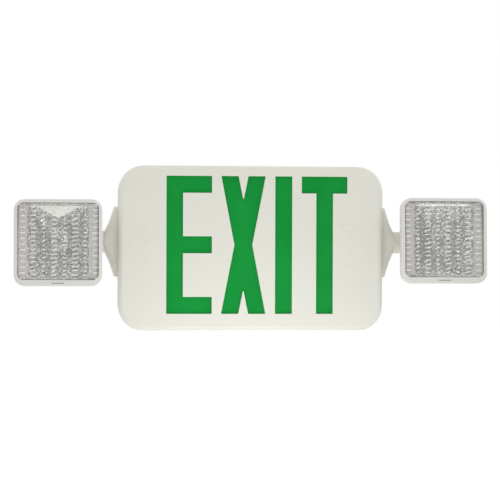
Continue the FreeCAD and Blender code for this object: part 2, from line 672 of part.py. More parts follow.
def collar():
    """Trumpet collar: soft rectangular flange swept in to the round neck seat, cored from the back."""
    foot_y = COLLAR_HALF_D - COLLAR_STEP
    foot_z = COLLAR_HALF_H - COLLAR_STEP
    lip = Part.Face(superellipse(SIDE_X, COLLAR_HALF_D, COLLAR_HALF_H, COLLAR_SQUARE))
    lip = lip.extrude(V(COLLAR_LIP - COLLAR_EASE, 0, 0))
    rim = superellipse(SIDE_X + COLLAR_LIP - COLLAR_EASE, COLLAR_HALF_D, COLLAR_HALF_H, COLLAR_SQUARE)
    foot = superellipse(SIDE_X + COLLAR_LIP, foot_y, foot_z, COLLAR_SQUARE)
    lip = lip.fuse(Part.makeLoft([rim, foot], True, True))
    waist_y = (foot_y + COLLAR_END_R) / 2
    sections = [
        foot,
        superellipse(SIDE_X + COLLAR_WAIST_L, waist_y, COLLAR_WAIST_HALF_H, COLLAR_WAIST_SQUARE),
        superellipse(COLLAR_END_X, COLLAR_END_R, COLLAR_END_R, 2),
    ]
    body = lip.fuse(Part.makeLoft(sections, True, False))
    body = body.fuse(rod(COLLAR_HUB_R, WALL + SPIGOT_L, axis_point(SPIGOT_END_X), X_AXIS))
    core = Part.Face(superellipse(SIDE_X, foot_y - COLLAR_WALL, foot_z - COLLAR_WALL, COLLAR_SQUARE))
    core = core.extrude(V(COLLAR_CORE_D, 0, 0))
    keep = [rod(COLLAR_HUB_R, COLLAR_CORE_D, axis_point(SIDE_X), X_AXIS)]
    rib_foot = axis_point(SIDE_X) - V(0, COLLAR_RIB_T / 2, foot_z)
    keep.append(Part.makeBox(COLLAR_CORE_D, COLLAR_RIB_T, 2 * foot_z, rib_foot))
    holes = [rod(JOURNAL_R + RUNNING_GAP, COLLAR_END_X - SPIGOT_END_X, axis_point(SPIGOT_END_X), X_AXIS)]
    for dz in (-COLLAR_SCREW_Z, COLLAR_SCREW_Z):
        seat = axis_point(SIDE_X) + V(0, 0, dz)
        keep.append(rod(COLLAR_BOSS_R, COLLAR_CORE_D, seat, X_AXIS))
        holes.append(rod(SCREW_R + SCREW_HOLE_GAP, COLLAR_SCREW_DEPTH + SCREW_HOLE_GAP, seat, X_AXIS))
    return one_solid(body.cut(core.cut(keep)).cut(holes))


def collar_screws():
    """Two screws through the housing wall into the collar."""
    shank = WALL + COLLAR_SCREW_DEPTH
    seats = [axis_point(SIDE_X - WALL) + V(0, 0, dz) for dz in (-COLLAR_SCREW_Z, COLLAR_SCREW_Z)]
    return Part.makeCompound([screw(seat, X_AXIS, shank) for seat in seats])


def stem():
    """Swivel stem: journal in the collar, neck, taper and the tongue of the tilt knuckle."""
    tail_x = SPIGOT_END_X - WASHER_T - NUT_T - JOURNAL_TAIL
    taper_x = NECK_X + NECK_L
    profile = [(tail_x, JOURNAL_R), (NECK_X, JOURNAL_R), (NECK_X, NECK_R), (taper_x, NECK_R)]
    profile += [(NECK_TIP_X, NECK_TIP_R), (NECK_TIP_X, 0)]
    points = [V(x, SWIVEL_Y, SWIVEL_Z + r) for x, r in [(tail_x, 0)] + profile]
    turned = Part.Face(Part.makePolygon(points + points[:1])).revolve(axis_point(0), X_AXIS, 360)
    half = TONGUE_T / 2
    knuckle = V(KNUCKLE_X, SWIVEL_Y, SWIVEL_Z - half)
    tongue = rod(KNUCKLE_R, TONGUE_T, knuckle, Z_AXIS)
    root = V(taper_x, SWIVEL_Y - KNUCKLE_R, SWIVEL_Z - half)
    tongue = tongue.fuse(Part.makeBox(KNUCKLE_X - taper_x, 2 * KNUCKLE_R, TONGUE_T, root))
    bore_l = taper_x + STEM_BORE_PAST - tail_x
    cuts = [rod(STEM_BORE_R, bore_l, axis_point(tail_x), X_AXIS)]
    cuts.append(rod(LEAD_EXIT_R, NECK_R, axis_point(NECK_X + LEAD_EXIT_SHY + LEAD_EXIT_R), Y_AXIS))
    cuts.append(rod(PIN_R + RUNNING_GAP, TONGUE_T, knuckle, Z_AXIS))
    return one_solid(turned.fuse(tongue).cut(cuts))


def swivel_washer():
    """Friction washer between the collar's spigot and the nut."""
    base = axis_point(SPIGOT_END_X - WASHER_T)
    ring = rod(WASHER_R, WASHER_T, base, X_AXIS)
    return ring.cut(rod(JOURNAL_R + RUNNING_GAP, WASHER_T, base, X_AXIS))


def swivel_nut():
    """Hexagon nut that keeps the stem in the collar."""
    x = SPIGOT_END_X - WASHER_T - NUT_T
    corner = NUT_ACROSS_FLATS / math.sqrt(3)
    points = []
    for i in range(6):
        angle = math.radians(60 * i)
        points.append(axis_point(x) + V(0, corner * math.cos(angle), corner * math.sin(angle)))
    nut = Part.Face(Part.makePolygon(points + points[:1])).extrude(V(NUT_T, 0, 0))
    return nut.cut(rod(JOURNAL_R + RUNNING_GAP, NUT_T, axis_point(x), X_AXIS))


# ---------------------------------------------------------------- lamp head, right-hand
def head_slab(width, height, radius, y_back, y_front, rise=0.0):
    """Rounded block centred on the head, raised by rise."""
    return slab(width, height, radius, y_back, y_front, HEAD_X, SWIVEL_Z + rise)


def bowl(shrink):
    """Tapered back of the shell, or with shrink the space inside it."""
    mouth_r = BOWL_R - shrink
    back_w = 2 * (BOWL_BACK_HALF_W - shrink)
    back_h = 2 * (BOWL_BACK_HALF_H - shrink)
    width = 2 * (BOWL_HALF_W - shrink)
    height = 2 * (BOWL_HALF_H - shrink)
    mouth = rounded_rect(width, height, mouth_r, BAND_BACK, HEAD_X, SWIVEL_Z)
    floor = rounded_rect(back_w, back_h, mouth_r, BOWL_BACK - shrink, HEAD_X, SWIVEL_Z)
    return Part.makeLoft([mouth, floor], True, True)


def ear(z_low):
    """One cheek of the tilt knuckle: round about the pin and spread onto the bowl."""
    near = KNUCKLE_X
    run = BOWL_DRAW / BOWL_D
    fore_y = SWIVEL_Y - EAR_SPREAD
    aft_y = SWIVEL_Y + KNUCKLE_R
    wall_at_fore = HEAD_X - BOWL_HALF_W + run * (fore_y - BAND_BACK)
    wall_at_aft = HEAD_X - BOWL_HALF_W + run * (aft_y - BAND_BACK)
    start = V(near, SWIVEL_Y - KNUCKLE_R, z_low)
    stop = V(near, SWIVEL_Y + KNUCKLE_R, z_low)
    points = [start, V(wall_at_fore + SHELL_T, fore_y, z_low), V(wall_at_aft + SHELL_T, aft_y, z_low), stop]
    edges = [Part.makeLine(a, b) for a, b in zip(points, points[1:])]
    edges.append(Part.Arc(stop, V(near - KNUCKLE_R, SWIVEL_Y, z_low), start).toShape())
    return Part.Face(Part.Wire(edges)).extrude(V(0, 0, EAR_T))


def head_shell():
    """Open shell: band, step, tapered bowl, corner posts, centre post and the knuckle's ears."""
    outer = head_slab(HEAD_W, HEAD_H, HEAD_R, BAND_BACK, BEZEL_BACK)
    outer = round_edges(outer, BAND_EDGE_R, lambda edge: lies_at_y(edge, BAND_BACK))
    outer = outer.fuse(bowl(0))
    gap = TONGUE_T / 2 + FACE_GAP
    outer = outer.fuse([ear(SWIVEL_Z + gap), ear(SWIVEL_Z - gap - EAR_T)])
    inset = 2 * SHELL_T
    room = head_slab(HEAD_W - inset, HEAD_H - inset, HEAD_R - SHELL_T, BAND_BACK - SHELL_T, BEZEL_BACK)
    lid_w = 2 * BOWL_HALF_W - inset
    lid_h = 2 * BOWL_HALF_H - inset
    lid = head_slab(lid_w, lid_h, BOWL_R - SHELL_T, BAND_BACK, BAND_BACK - SHELL_T)
    room = room.fuse([bowl(SHELL_T), lid])
    dx = LENS_W / 2 - CORNER_POST_INSET
    dz = LENS_H / 2 - CORNER_POST_INSET
    rise = WINDOW_Z - SWIVEL_Z
    posts = []
    for sx in (-1, 1):
        for sz in (-1, 1):
            foot = V(HEAD_X + sx * dx, BAND_BACK - SHELL_T, SWIVEL_Z + rise + sz * dz)
            posts.append(rod(CORNER_POST_R, BAND_BACK - SHELL_T - DISH_FRONT - DISH_T, foot, -Y_AXIS))
    floor = BOWL_BACK - SHELL_T
    centre = rod(CENTRE_POST_R, floor - LAMP_BOARD_BACK, V(HEAD_X, floor, SWIVEL_Z), -Y_AXIS)
    shell = outer.cut(room).fuse(posts + [centre])
    cuts = [rod(LEAD_HOLE_R, BOWL_HALF_W / 2, V(KNUCKLE_X, SWIVEL_Y, SWIVEL_Z), X_AXIS)]
    cuts.append(rod(PIN_R, 2 * (gap + EAR_T), V(KNUCKLE_X, SWIVEL_Y, SWIVEL_Z - gap - EAR_T), Z_AXIS))
    return one_solid(shell.cut(cuts))


def bezel():
    """Snap-on frame round the lens, with its spigot and the pry slot in the wide bottom margin."""
    rise = WINDOW_Z - SWIVEL_Z
    frame = head_slab(HEAD_W, HEAD_H, HEAD_R, BEZEL_BACK, HEAD_FRONT)
    frame = round_edges(frame, BEZEL_EDGE_R, lambda edge: lies_at_y(edge, HEAD_FRONT))
    spigot_w = HEAD_W - 2 * (SHELL_T + FIT_GAP)
    spigot_h = HEAD_H - 2 * (SHELL_T + FIT_GAP)
    spigot_r = HEAD_R - SHELL_T - FIT_GAP
    thin = 2 * BEZEL_SPIGOT_T
    tail = BEZEL_BACK + BEZEL_SPIGOT_L
    spigot = head_slab(spigot_w, spigot_h, spigot_r, tail, BEZEL_BACK)
    hollow = head_slab(spigot_w - thin, spigot_h - thin, spigot_r - BEZEL_SPIGOT_T, tail, BEZEL_BACK)
    window = head_slab(WINDOW_W, WINDOW_H, WINDOW_R, BEZEL_BACK, HEAD_FRONT, rise)
    fit = 2 * FIT_GAP
    rebate = head_slab(LENS_W + fit, LENS_H + fit, LENS_R + FIT_GAP, BEZEL_BACK, LENS_FRONT, rise)
    slot_z = SWIVEL_Z - HEAD_H / 2 + BEZEL_FOOT / 2
    slot = block(PRY_SLOT_W, PRY_SLOT_D, PRY_SLOT_H, HEAD_X, HEAD_FRONT + PRY_SLOT_D, slot_z)
    return one_solid(frame.fuse(spigot.cut(hollow)).cut([window, rebate, slot]))


def lens():
    """Clear lens: flat front, and a row of prism bars across its back."""
    rise = WINDOW_Z - SWIVEL_Z
    plate = head_slab(LENS_W, LENS_H, LENS_R, LENS_FRONT + LENS_T, LENS_FRONT, rise)
    count = int((LENS_H - 2 * PRISM_MARGIN) / PRISM_PITCH)
    low = WINDOW_Z - count * PRISM_PITCH / 2
    back = LENS_FRONT + LENS_T
    width = LENS_W - 2 * PRISM_MARGIN
    x = HEAD_X - width / 2
    points = [V(x, back - LENS_T / 2, low)]
    for i in range(count):
        points.append(V(x, back, low + i * PRISM_PITCH))
        points.append(V(x, back + PRISM_D - FACE_GAP, low + (i + 0.5) * PRISM_PITCH))
    points += [V(x, back, low + count * PRISM_PITCH), V(x, back - LENS_T / 2, low + count * PRISM_PITCH)]
    bars = Part.Face(Part.makePolygon(points + points[:1])).extrude(V(width, 0, 0))
    return one_solid(plate.fuse(bars))


def dish(grow):
    """Tapered space of the reflector, grown by its wall where asked."""
    mouth = rounded_rect(DISH_W + 2 * grow, DISH_H + 2 * grow, DISH_R + grow, DISH_FRONT, HEAD_X, WINDOW_Z)
    side = DISH_FLOOR + 2 * grow
    floor = rounded_rect(side, side, DISH_R + grow, DISH_BACK, HEAD_X, SWIVEL_Z)
    return Part.makeLoft([mouth, floor], True, True)


def reflector():
    """Silvered dish with a flat flange behind the lens and a floor round the LED."""
    rise = WINDOW_Z - SWIVEL_Z
    flange = head_slab(LENS_W, LENS_H, LENS_R, DISH_FRONT + DISH_T, DISH_FRONT, rise)
    floor = head_slab(DISH_W, DISH_H, DISH_R, DISH_BACK, DISH_BACK - DISH_T)
    body = flange.fuse(dish(DISH_T)).cut(dish(0).cut(floor))
    eye = rod(LAMP_LED_R + FIT_GAP, DISH_T, V(HEAD_X, DISH_BACK, SWIVEL_Z), -Y_AXIS)
    return one_solid(body.cut(eye))


def lamp_board():
    """Round metal-core board on the centre post."""
    return rod(LAMP_BOARD_R, LAMP_BOARD_T, V(HEAD_X, DISH_BACK, SWIVEL_Z), Y_AXIS)


def lamp_led():
    """Light-emitting diode with its dome."""
    base = V(HEAD_X, DISH_BACK, SWIVEL_Z)
    body = rod(LAMP_LED_R, LAMP_LED_T, base, -Y_AXIS)
    dome = Part.makeSphere(LAMP_DOME_R, base - V(0, LAMP_LED_T, 0))
    front = rod(LAMP_DOME_R, LAMP_DOME_R, base - V(0, LAMP_LED_T, 0), -Y_AXIS)
    return one_solid(body.fuse(dome.common(front)))


def pivot_pin():
    """Cross pin of the tilt knuckle."""
    length = TONGUE_T + 2 * (FACE_GAP + EAR_T)
    return rod(PIN_R, length, V(KNUCKLE_X, SWIVEL_Y, SWIVEL_Z - length / 2), Z_AXIS)


def glare_flap():
    """Triangular flap that hangs behind the top of the lens, just inside the dish's sloping wall."""
    slope = (WINDOW_Z + DISH_H / 2 - SWIVEL_Z - DISH_FLOOR / 2) / DISH_D
    top = WINDOW_Z + DISH_H / 2 - slope * FLAP_T - FIT_GAP
    y = DISH_FRONT
    half = DISH_W / 2 - FLAP_INSET
    points = [V(HEAD_X - half, y, top), V(HEAD_X + half, y, top), V(HEAD_X, y, top - FLAP_H)]
    return Part.Face(Part.makePolygon(points + points[:1])).extrude(V(0, FLAP_T, 0))


# ---------------------------------------------------------------- the whole light
def at_side(shape, side, turns):
    """A right-hand piece brought to its own side, and to the rest pitch where it turns."""
    placed = shape.mirror(V(0, 0, 0), X_AXIS) if side == "left" else shape.copy()
    if turns:
        placed.rotate(axis_point(0), X_AXIS, -REST_PITCH[side])
    return placed


def sign_pieces():
    """Every piece of the sign box, by node name."""
    return {
        "back_housing": back_housing(),
        "front_cover": front_cover(),
        "legend_lens": legend_lens(),
        "light_box": light_box(),
        "light_box_screws": light_box_screws(),
        "upper_led_board": led_board(1),
        "lower_led_board": led_board(-1),
        "sign_leds": sign_leds(),
        "circuit_board": circuit_board(),
        "board_screws": board_screws(),
        "transformer": transformer(),
        "relay": relay(),
        "capacitors": capacitors(),
        "terminal_block": terminal_block(),
        "battery_cells": battery_cells(),
        "battery_strap": battery_strap(),
        "test_button": test_button(),
        "button_spring": button_spring(),
        "test_switch": test_switch(),
        "pilot_light": pilot_light(),
    }


def lamp_pieces():
    """The pieces of both lamps, by node name."""
    fixed = {"collar": collar(), "collar_screws": collar_screws()}
    turning = {
        "stem": stem(),
        "washer": swivel_washer(),
        "nut": swivel_nut(),
        "head_shell": head_shell(),
        "bezel": bezel(),
        "lens": lens(),
        "reflector": reflector(),
        "lamp_board": lamp_board(),
        "lamp_led": lamp_led(),
        "pivot_pin": pivot_pin(),
    }
    pieces = {}
    for side in ("left", "right"):
        pieces.update({f"{side}_{name}": at_side(shape, side, False) for name, shape in fixed.items()})
        pieces.update({f"{side}_{name}": at_side(shape, side, True) for name, shape in turning.items()})
    pieces["left_glare_flap"] = at_side(glare_flap(), "left", True)
    return pieces


def main():
    """Write one STEP file for each node."""
    os.makedirs("parts", exist_ok=True)
    pieces = sign_pieces()
    pieces.update(lamp_pieces())
    for name, shape in pieces.items():
        assert shape.isValid(), name
        shape.exportStep(f"parts/{name}.step")
        print(f"{name}: {len(shape.Solids)} solid(s), {shape.Volume / 1000:.2f} cm3")


main()
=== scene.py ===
import json
import logging
import math
import random
from collections.abc import Callable, Iterable, Sequence
from dataclasses import dataclass, field
from enum import Enum

import bmesh
import bpy
from mathutils import Matrix, Vector


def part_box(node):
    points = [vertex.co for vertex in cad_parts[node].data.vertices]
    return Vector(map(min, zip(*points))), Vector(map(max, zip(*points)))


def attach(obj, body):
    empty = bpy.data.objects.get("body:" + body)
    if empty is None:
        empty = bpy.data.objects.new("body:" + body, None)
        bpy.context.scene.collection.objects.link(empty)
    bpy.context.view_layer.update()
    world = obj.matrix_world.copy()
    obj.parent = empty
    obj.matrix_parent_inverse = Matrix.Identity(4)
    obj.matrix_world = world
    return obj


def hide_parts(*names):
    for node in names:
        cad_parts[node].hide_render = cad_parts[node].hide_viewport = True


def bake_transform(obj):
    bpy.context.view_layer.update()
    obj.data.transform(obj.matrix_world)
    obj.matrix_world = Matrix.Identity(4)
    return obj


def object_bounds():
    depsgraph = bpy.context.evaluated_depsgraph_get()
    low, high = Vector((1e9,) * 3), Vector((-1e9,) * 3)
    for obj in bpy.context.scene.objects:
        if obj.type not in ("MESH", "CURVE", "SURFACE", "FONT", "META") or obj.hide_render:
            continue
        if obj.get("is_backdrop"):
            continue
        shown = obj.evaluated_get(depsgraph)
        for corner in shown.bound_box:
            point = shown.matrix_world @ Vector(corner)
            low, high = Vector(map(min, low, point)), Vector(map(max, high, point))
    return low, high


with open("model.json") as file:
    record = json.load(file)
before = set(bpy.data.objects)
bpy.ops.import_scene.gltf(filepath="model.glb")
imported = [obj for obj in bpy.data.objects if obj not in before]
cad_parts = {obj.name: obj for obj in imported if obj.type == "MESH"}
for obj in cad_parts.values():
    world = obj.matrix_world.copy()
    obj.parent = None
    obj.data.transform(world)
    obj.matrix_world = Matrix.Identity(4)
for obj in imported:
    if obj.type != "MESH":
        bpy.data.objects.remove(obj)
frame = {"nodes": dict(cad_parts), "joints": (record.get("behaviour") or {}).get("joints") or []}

log = logging.getLogger("exit_light")

Rgb = tuple[float, float, float]
Point = tuple[float, float]
Spot = tuple[float, float, float]
Socket = bpy.types.NodeSocket
Feed = Socket | float | tuple | None

MM = 0.001
Z_UP = Vector((0.0, 0.0, 1.0))
WHITE: Rgb = (1.0, 1.0, 1.0)
BLACK: Rgb = (0.0, 0.0, 0.0)
SHARP_ANGLE = math.radians(28.0)
NOISE_LOW, NOISE_HIGH = 0.3, 0.7


# ---------------------------------------------------------------- node trees
class Sheet:
    """A node tree with short calls that place and join its nodes."""

    def __init__(self, tree: bpy.types.NodeTree) -> None:
        """Keep the tree that the calls work on."""
        self.tree = tree

    def add(self, kind: str, **settings: object) -> bpy.types.Node:
        """Place a node.

        Args:
            kind: Blender's name of the node type.
            settings: properties to set on the node.

        Returns:
            The new node.
        """
        node = self.tree.nodes.new(kind)
        for key, value in settings.items():
            setattr(node, key, value)
        return node

    def feed(self, socket: Socket, value: Feed) -> None:
        """Join a socket to another, or set its plain value.

        Args:
            socket: the input to feed.
            value: an output to link, a number or tuple to set, or None to leave it.
        """
        if isinstance(value, bpy.types.NodeSocket):
            self.tree.links.new(value, socket)
        elif isinstance(value, tuple) and socket.type == "RGBA":
            socket.default_value = (*value, 1.0)
        elif value is not None:
            socket.default_value = value

    def join(self, node: bpy.types.Node, **values: Feed) -> bpy.types.Node:
        """Feed a node's inputs by name.

        Args:
            node: the node.
            values: what each input gets, with underscores for the spaces in its name.

        Returns:
            The node.
        """
        for key, value in values.items():
            self.feed(node.inputs[key.replace("_", " ")], value)
        return node

    def math(self, operation: str, a: Feed, b: Feed = None, clamp: bool = False) -> Socket:
        """Combine numbers.

        Args:
            operation: Blender's name of the operation.
            a: first number.
            b: second number.
            clamp: keep the result between 0 and 1.

        Returns:
            The result's socket.
        """
        node = self.add("ShaderNodeMath", operation=operation, use_clamp=clamp)
        self.feed(node.inputs[0], a)
        self.feed(node.inputs[1], b)
        return node.outputs[0]

    def plus(self, a: Feed, b: Feed) -> Socket:
        """Give the sum of two numbers."""
        return self.math("ADD", a, b)

    def times(self, a: Feed, b: Feed, clamp: bool = False) -> Socket:
        """Give the product of two numbers."""
        return self.math("MULTIPLY", a, b, clamp)

    def larger(self, a: Feed, b: Feed, clamp: bool = False) -> Socket:
        """Give the larger of two numbers."""
        return self.math("MAXIMUM", a, b, clamp)

    def mix(self, factor: Feed, a: Feed, b: Feed) -> Socket:
        """Mix two colours.

        Args:
            factor: share of the second colour.
            a: first colour.
            b: second colour.

        Returns:
            The mixed colour's socket.
        """
        node = self.add("ShaderNodeMix", data_type="RGBA")
        self.feed(node.inputs[0], factor)
        self.feed(node.inputs[6], a)
        self.feed(node.inputs[7], b)
        return node.outputs[2]

    def span(self, value: Feed, low: Feed, high: Feed, to_low: Feed = 0.0, to_high: Feed = 1.0) -> Socket:
        """Stretch a number from one range to another, held at the ends.

        Args:
            value: number to stretch.
            low: start of its range.
            high: end of its range.
            to_low: result at the start.
            to_high: result at the end.

        Returns:
            The result's socket.
        """
        node = self.add("ShaderNodeMapRange")
        for socket, number in zip(node.inputs, (value, low, high, to_low, to_high)):
            self.feed(socket, number)
        return node.outputs[0]

    def spread(self, noise: Feed, low: Feed, high: Feed) -> Socket:
        """Stretch soft noise, which lies mostly between its usual low and high, over a range."""
        return self.span(noise, NOISE_LOW, NOISE_HIGH, low, high)

    def choose(self, switch: Feed, off: Feed, on: Feed) -> Socket:
        """Give one number where a switch is 0 and another where it is 1."""
        return self.span(switch, 0.0, 1.0, off, on)

    def place(self, stretch: tuple[float, float, float] = (1.0, 1.0, 1.0)) -> Socket:
        """Give the point in the part's own frame, in metres.

        Args:
            stretch: factor along each axis.

        Returns:
            The stretched point's socket.
        """
        node = self.add("ShaderNodeVectorMath", operation="MULTIPLY")
        self.feed(node.inputs[0], self.add("ShaderNodeTexCoord").outputs["Object"])
        self.feed(node.inputs[1], stretch)
        return node.outputs[0]

    def noise(self, scale: Feed, detail: float = 2.0,
              stretch: tuple[float, float, float] = (1.0, 1.0, 1.0)) -> Socket:
        """Give soft noise over the part.

        Args:
            scale: cells in a metre.
            detail: finer layers added.
            stretch: factor along each axis.

        Returns:
            The noise value's socket.
        """
        node = self.add("ShaderNodeTexNoise")
        self.join(node, Vector=self.place(stretch), Scale=scale, Detail=detail)
        return node.outputs[0]

    def cells(self, scale: Feed) -> Socket:
        """Give the distance to the middle of the nearest of many scattered cells.

        Args:
            scale: cells in a metre.

        Returns:
            The distance's socket.
        """
        node = self.add("ShaderNodeTexVoronoi")
        self.join(node, Vector=self.place(), Scale=scale)
        return node.outputs["Distance"]

    def axis(self, name: str) -> Socket:
        """Give one coordinate of the point in the part's own frame."""
        split = self.join(self.add("ShaderNodeSeparateXYZ"), Vector=self.place())
        return split.outputs[name]

    def normal(self) -> Socket:
        """Give the surface's normal."""
        return self.add("ShaderNodeNewGeometry").outputs["Normal"]

    def attribute(self, name: str) -> Socket:
        """Give a number that is written on the mesh."""
        return self.add("ShaderNodeAttribute", attribute_name=name).outputs["Fac"]

    def seen(self) -> Socket:
        """Tell the rays that show a surface from the rays that only light the others.

        Returns:
            The socket: 1 for rays of the camera, of a gloss or through a clear piece, else 0.
        """
        rays = self.add("ShaderNodeLightPath").outputs
        direct = self.larger(rays["Is Camera Ray"], rays["Is Glossy Ray"])
        return self.larger(direct, rays["Is Transmission Ray"])


# ---------------------------------------------------------------- effects that several finishes share
class Effect(Enum):
    """Effects that are built once, as node groups."""

    GRAIN = "moulded grain"
    MOTTLE = "colour mottle"
    WEAR = "rubbed edges"
    DUST = "settled dust"
    BRUSH = "brushed metal"
    BANDS = "even bands"
    # painted highlights on the lens's prisms
    DASHES = "prism dashes"


class EffectGroup(Sheet):
    """A shared node group under construction, with a method for each effect."""

    def __init__(self, name: str) -> None:
        """Open an empty group."""
        super().__init__(bpy.data.node_groups.new(name, "ShaderNodeTree"))

    def port(self, name: str, way: str, color: bool) -> bpy.types.NodeTreeInterfaceSocket:
        """Make an input or an output, which is a colour or a value."""
        kind = "NodeSocketColor" if color else "NodeSocketFloat"
        return self.tree.interface.new_socket(name=name.replace("_", " "), in_out=way, socket_type=kind)

    def take(self, **inputs: float | Rgb) -> list[Socket]:
        """Make the group's inputs.

        Args:
            inputs: default of each by name, with underscores for spaces; a triple makes a colour.

        Returns:
            Their sockets, in order.
        """
        for key, value in inputs.items():
            color = isinstance(value, tuple)
            self.port(key, "INPUT", color).default_value = (*value, 1.0) if color else value
        return list(self.add("NodeGroupInput").outputs)[:len(inputs)]

    def give(self, **outputs: Feed) -> None:
        """Make the group's outputs.

        Args:
            outputs: what each gets, by name; Color is a colour, the others are values.
        """
        for key in outputs:
            self.port(key, "OUTPUT", key == "Color")
        self.join(self.add("NodeGroupOutput"), **outputs)

    def grain(self) -> None:
        """Build the fine spark-eroded grain of a moulding: pits over a soft ripple."""
        scale, depth, ripple, base = self.take(Scale=2200.0, Pits=0.5, Ripple=0.13, Base_Roughness=0.45)
        pits = self.times(self.cells(scale), depth)
        height = self.plus(pits, self.noise(self.times(scale, ripple), 3.0))
        patch = self.spread(self.noise(26.0, 3.0), -0.05, 0.06)
        self.give(Height=height, Roughness=self.plus(base, patch))

    def mottle(self) -> None:
        """Build the slow drift of a colour over a surface."""
        color, far, scale, amount = self.take(Color=(0.5, 0.5, 0.5), Far_Color=(0.5, 0.5, 0.4), Scale=18.0,
                                              Amount=0.5)
        drift = self.span(self.noise(scale, 4.0), 0.35, 0.68)
        self.give(Color=self.mix(self.times(drift, amount), color, far))

    def wear(self) -> None:
        """Build the rub along edges, from how far a rounded normal turns from the true one."""
        color, worn, radius, amount = self.take(Color=(0.5, 0.5, 0.5), Worn_Color=(0.8, 0.8, 0.8),
                                                Radius=0.6 * MM, Amount=0.5)
        bevel = self.join(self.add("ShaderNodeBevel", samples=4), Radius=radius)
        turn = self.add("ShaderNodeVectorMath", operation="DOT_PRODUCT")
        self.feed(turn.inputs[0], bevel.outputs[0])
        self.feed(turn.inputs[1], self.normal())
        edge = self.span(turn.outputs["Value"], 0.995, 0.80)
        broken = self.span(self.noise(420.0, 4.0), 0.38, 0.62)
        mask = self.times(self.times(edge, broken), amount, clamp=True)
        self.give(Color=self.mix(mask, color, worn))

    def dust(self) -> None:
        """Build the dust that settles on upward faces."""
        color, dusty, amount = self.take(Color=(0.5, 0.5, 0.5), Dust_Color=(0.42, 0.39, 0.34), Amount=0.3)
        split = self.join(self.add("ShaderNodeSeparateXYZ"), Vector=self.normal())
        up = self.span(split.outputs["Z"], 0.35, 0.95)
        patch = self.span(self.noise(150.0, 5.0), 0.3, 0.75)
        mask = self.times(self.times(up, patch), amount, clamp=True)
        self.give(Color=self.mix(mask, color, dusty))

    def brush(self) -> None:
        """Build the fine scratches and plated bloom of a metal."""
        color, clouded, share, scale, base = self.take(
            Color=(0.6, 0.6, 0.6), Bloom_Color=(0.5, 0.5, 0.52), Bloom=0.35, Scale=900.0, Base_Roughness=0.3)
        scratch = self.noise(scale, 2.0, stretch=(1.0, 1.0, 0.04))
        bloom = self.span(self.cells(self.times(scale, share)), 0.1, 0.7)
        self.give(Color=self.mix(bloom, color, clouded), Height=scratch,
                  Roughness=self.plus(base, self.spread(scratch, -0.06, 0.10)))

    def bands(self) -> None:
        """Build even bands across an axis, such as laminations or print rings."""
        along, pitch, share = self.take(Along=0.0, Pitch=1.0 * MM, Share=0.5)
        phase = self.math("FRACT", self.math("DIVIDE", along, pitch))
        self.give(Mask=self.math("LESS_THAN", phase, share))

    def dashes(self) -> None:
        """Build the painted highlight that prisms gather: one dash in each, in wide and narrow flutes by
        turns.
        """
        flute, row, rough, broad, narrow, height, wide_highlight, slant = self.take(
            Flute=0.0, Row=0.0, Ragged=1.0, Wide=0.27, Narrow=0.13, Tall=0.14, Wide_Light=0.78, Lean=-0.35)
        inside = self.math("SUBTRACT", self.math("FRACT", flute), 0.5)
        odd = self.math("GREATER_THAN", self.math("FRACT", self.times(flute, 0.5)), 0.5)
        dot = self.times(odd, rough)
        ragged = self.times(self.spread(self.noise(170.0), -0.09, 0.09), rough)
        reach = self.plus(self.choose(dot, broad, narrow), ragged)
        wide = self.math("SUBTRACT", reach, self.math("ABSOLUTE", inside))
        sway = self.spread(self.noise(90.0), -0.2, 0.2)
        lean = self.times(self.plus(self.times(inside, slant), sway), rough)
        level = self.math("SUBTRACT", self.math("FRACT", self.plus(row, lean)), 0.5)
        tall = self.math("SUBTRACT", height, self.math("ABSOLUTE", level))
        dash = self.times(self.span(wide, -0.04, 0.06), self.span(tall, -0.06, 0.08))
        # random strength of each painted highlight
        cloud = self.span(self.noise(120.0, 1.0), 0.32, 0.55, 0.62, 1.0)
        self.give(Mask=self.times(dash, self.times(self.choose(dot, wide_highlight, 1.0), cloud)))


class Effects:
    """The shared node groups, each built the first time a finish asks for it."""

    def __init__(self) -> None:
        """Start with no group built."""
        self.made: dict[Effect, bpy.types.NodeTree] = {}

    def group(self, effect: Effect) -> bpy.types.NodeTree:
        """Give an effect's node group.

        Args:
            effect: which effect; the method of its name builds it.

        Returns:
            The group, shared by every material that places it.
        """
        if effect not in self.made:
            group = EffectGroup(effect.value)
            getattr(group, effect.name.lower())()
            self.made[effect] = group.tree
        return self.made[effect]


class Paint(Sheet):
    """A material's node tree, with its Principled shader and the effects that it can place."""

    def __init__(self, material: bpy.types.Material, effects: Effects) -> None:
        """Keep the tree, its shader and the shared effects.

        Args:
            material: the material, with its nodes on.
            effects: the shared node groups.
        """
        super().__init__(material.node_tree)
        self.shader = material.node_tree.nodes["Principled BSDF"]
        self.effects = effects

    def put(self, effect: Effect, **values: Feed) -> bpy.types.NodeOutputs:
        """Place an effect.

        Args:
            effect: which effect.
            values: the group's inputs by name, with underscores for spaces.

        Returns:
            The placed group's outputs, to be taken by name.
        """
        return self.join(self.add("ShaderNodeGroup", node_tree=self.effects.group(effect)), **values).outputs

    def give(self, **values: Feed) -> None:
        """Feed the shader's inputs by name."""
        self.join(self.shader, **values)

    def emboss(self, height: Feed, depth: float, strength: float) -> None:
        """Feed a height to the shader's normal.

        Args:
            height: the height's socket.
            depth: metres that a height of 1 stands for.
            strength: share of the effect.
        """
        bump = self.join(self.add("ShaderNodeBump"), Strength=strength, Distance=depth, Height=height)
        self.give(Normal=bump.outputs[0])


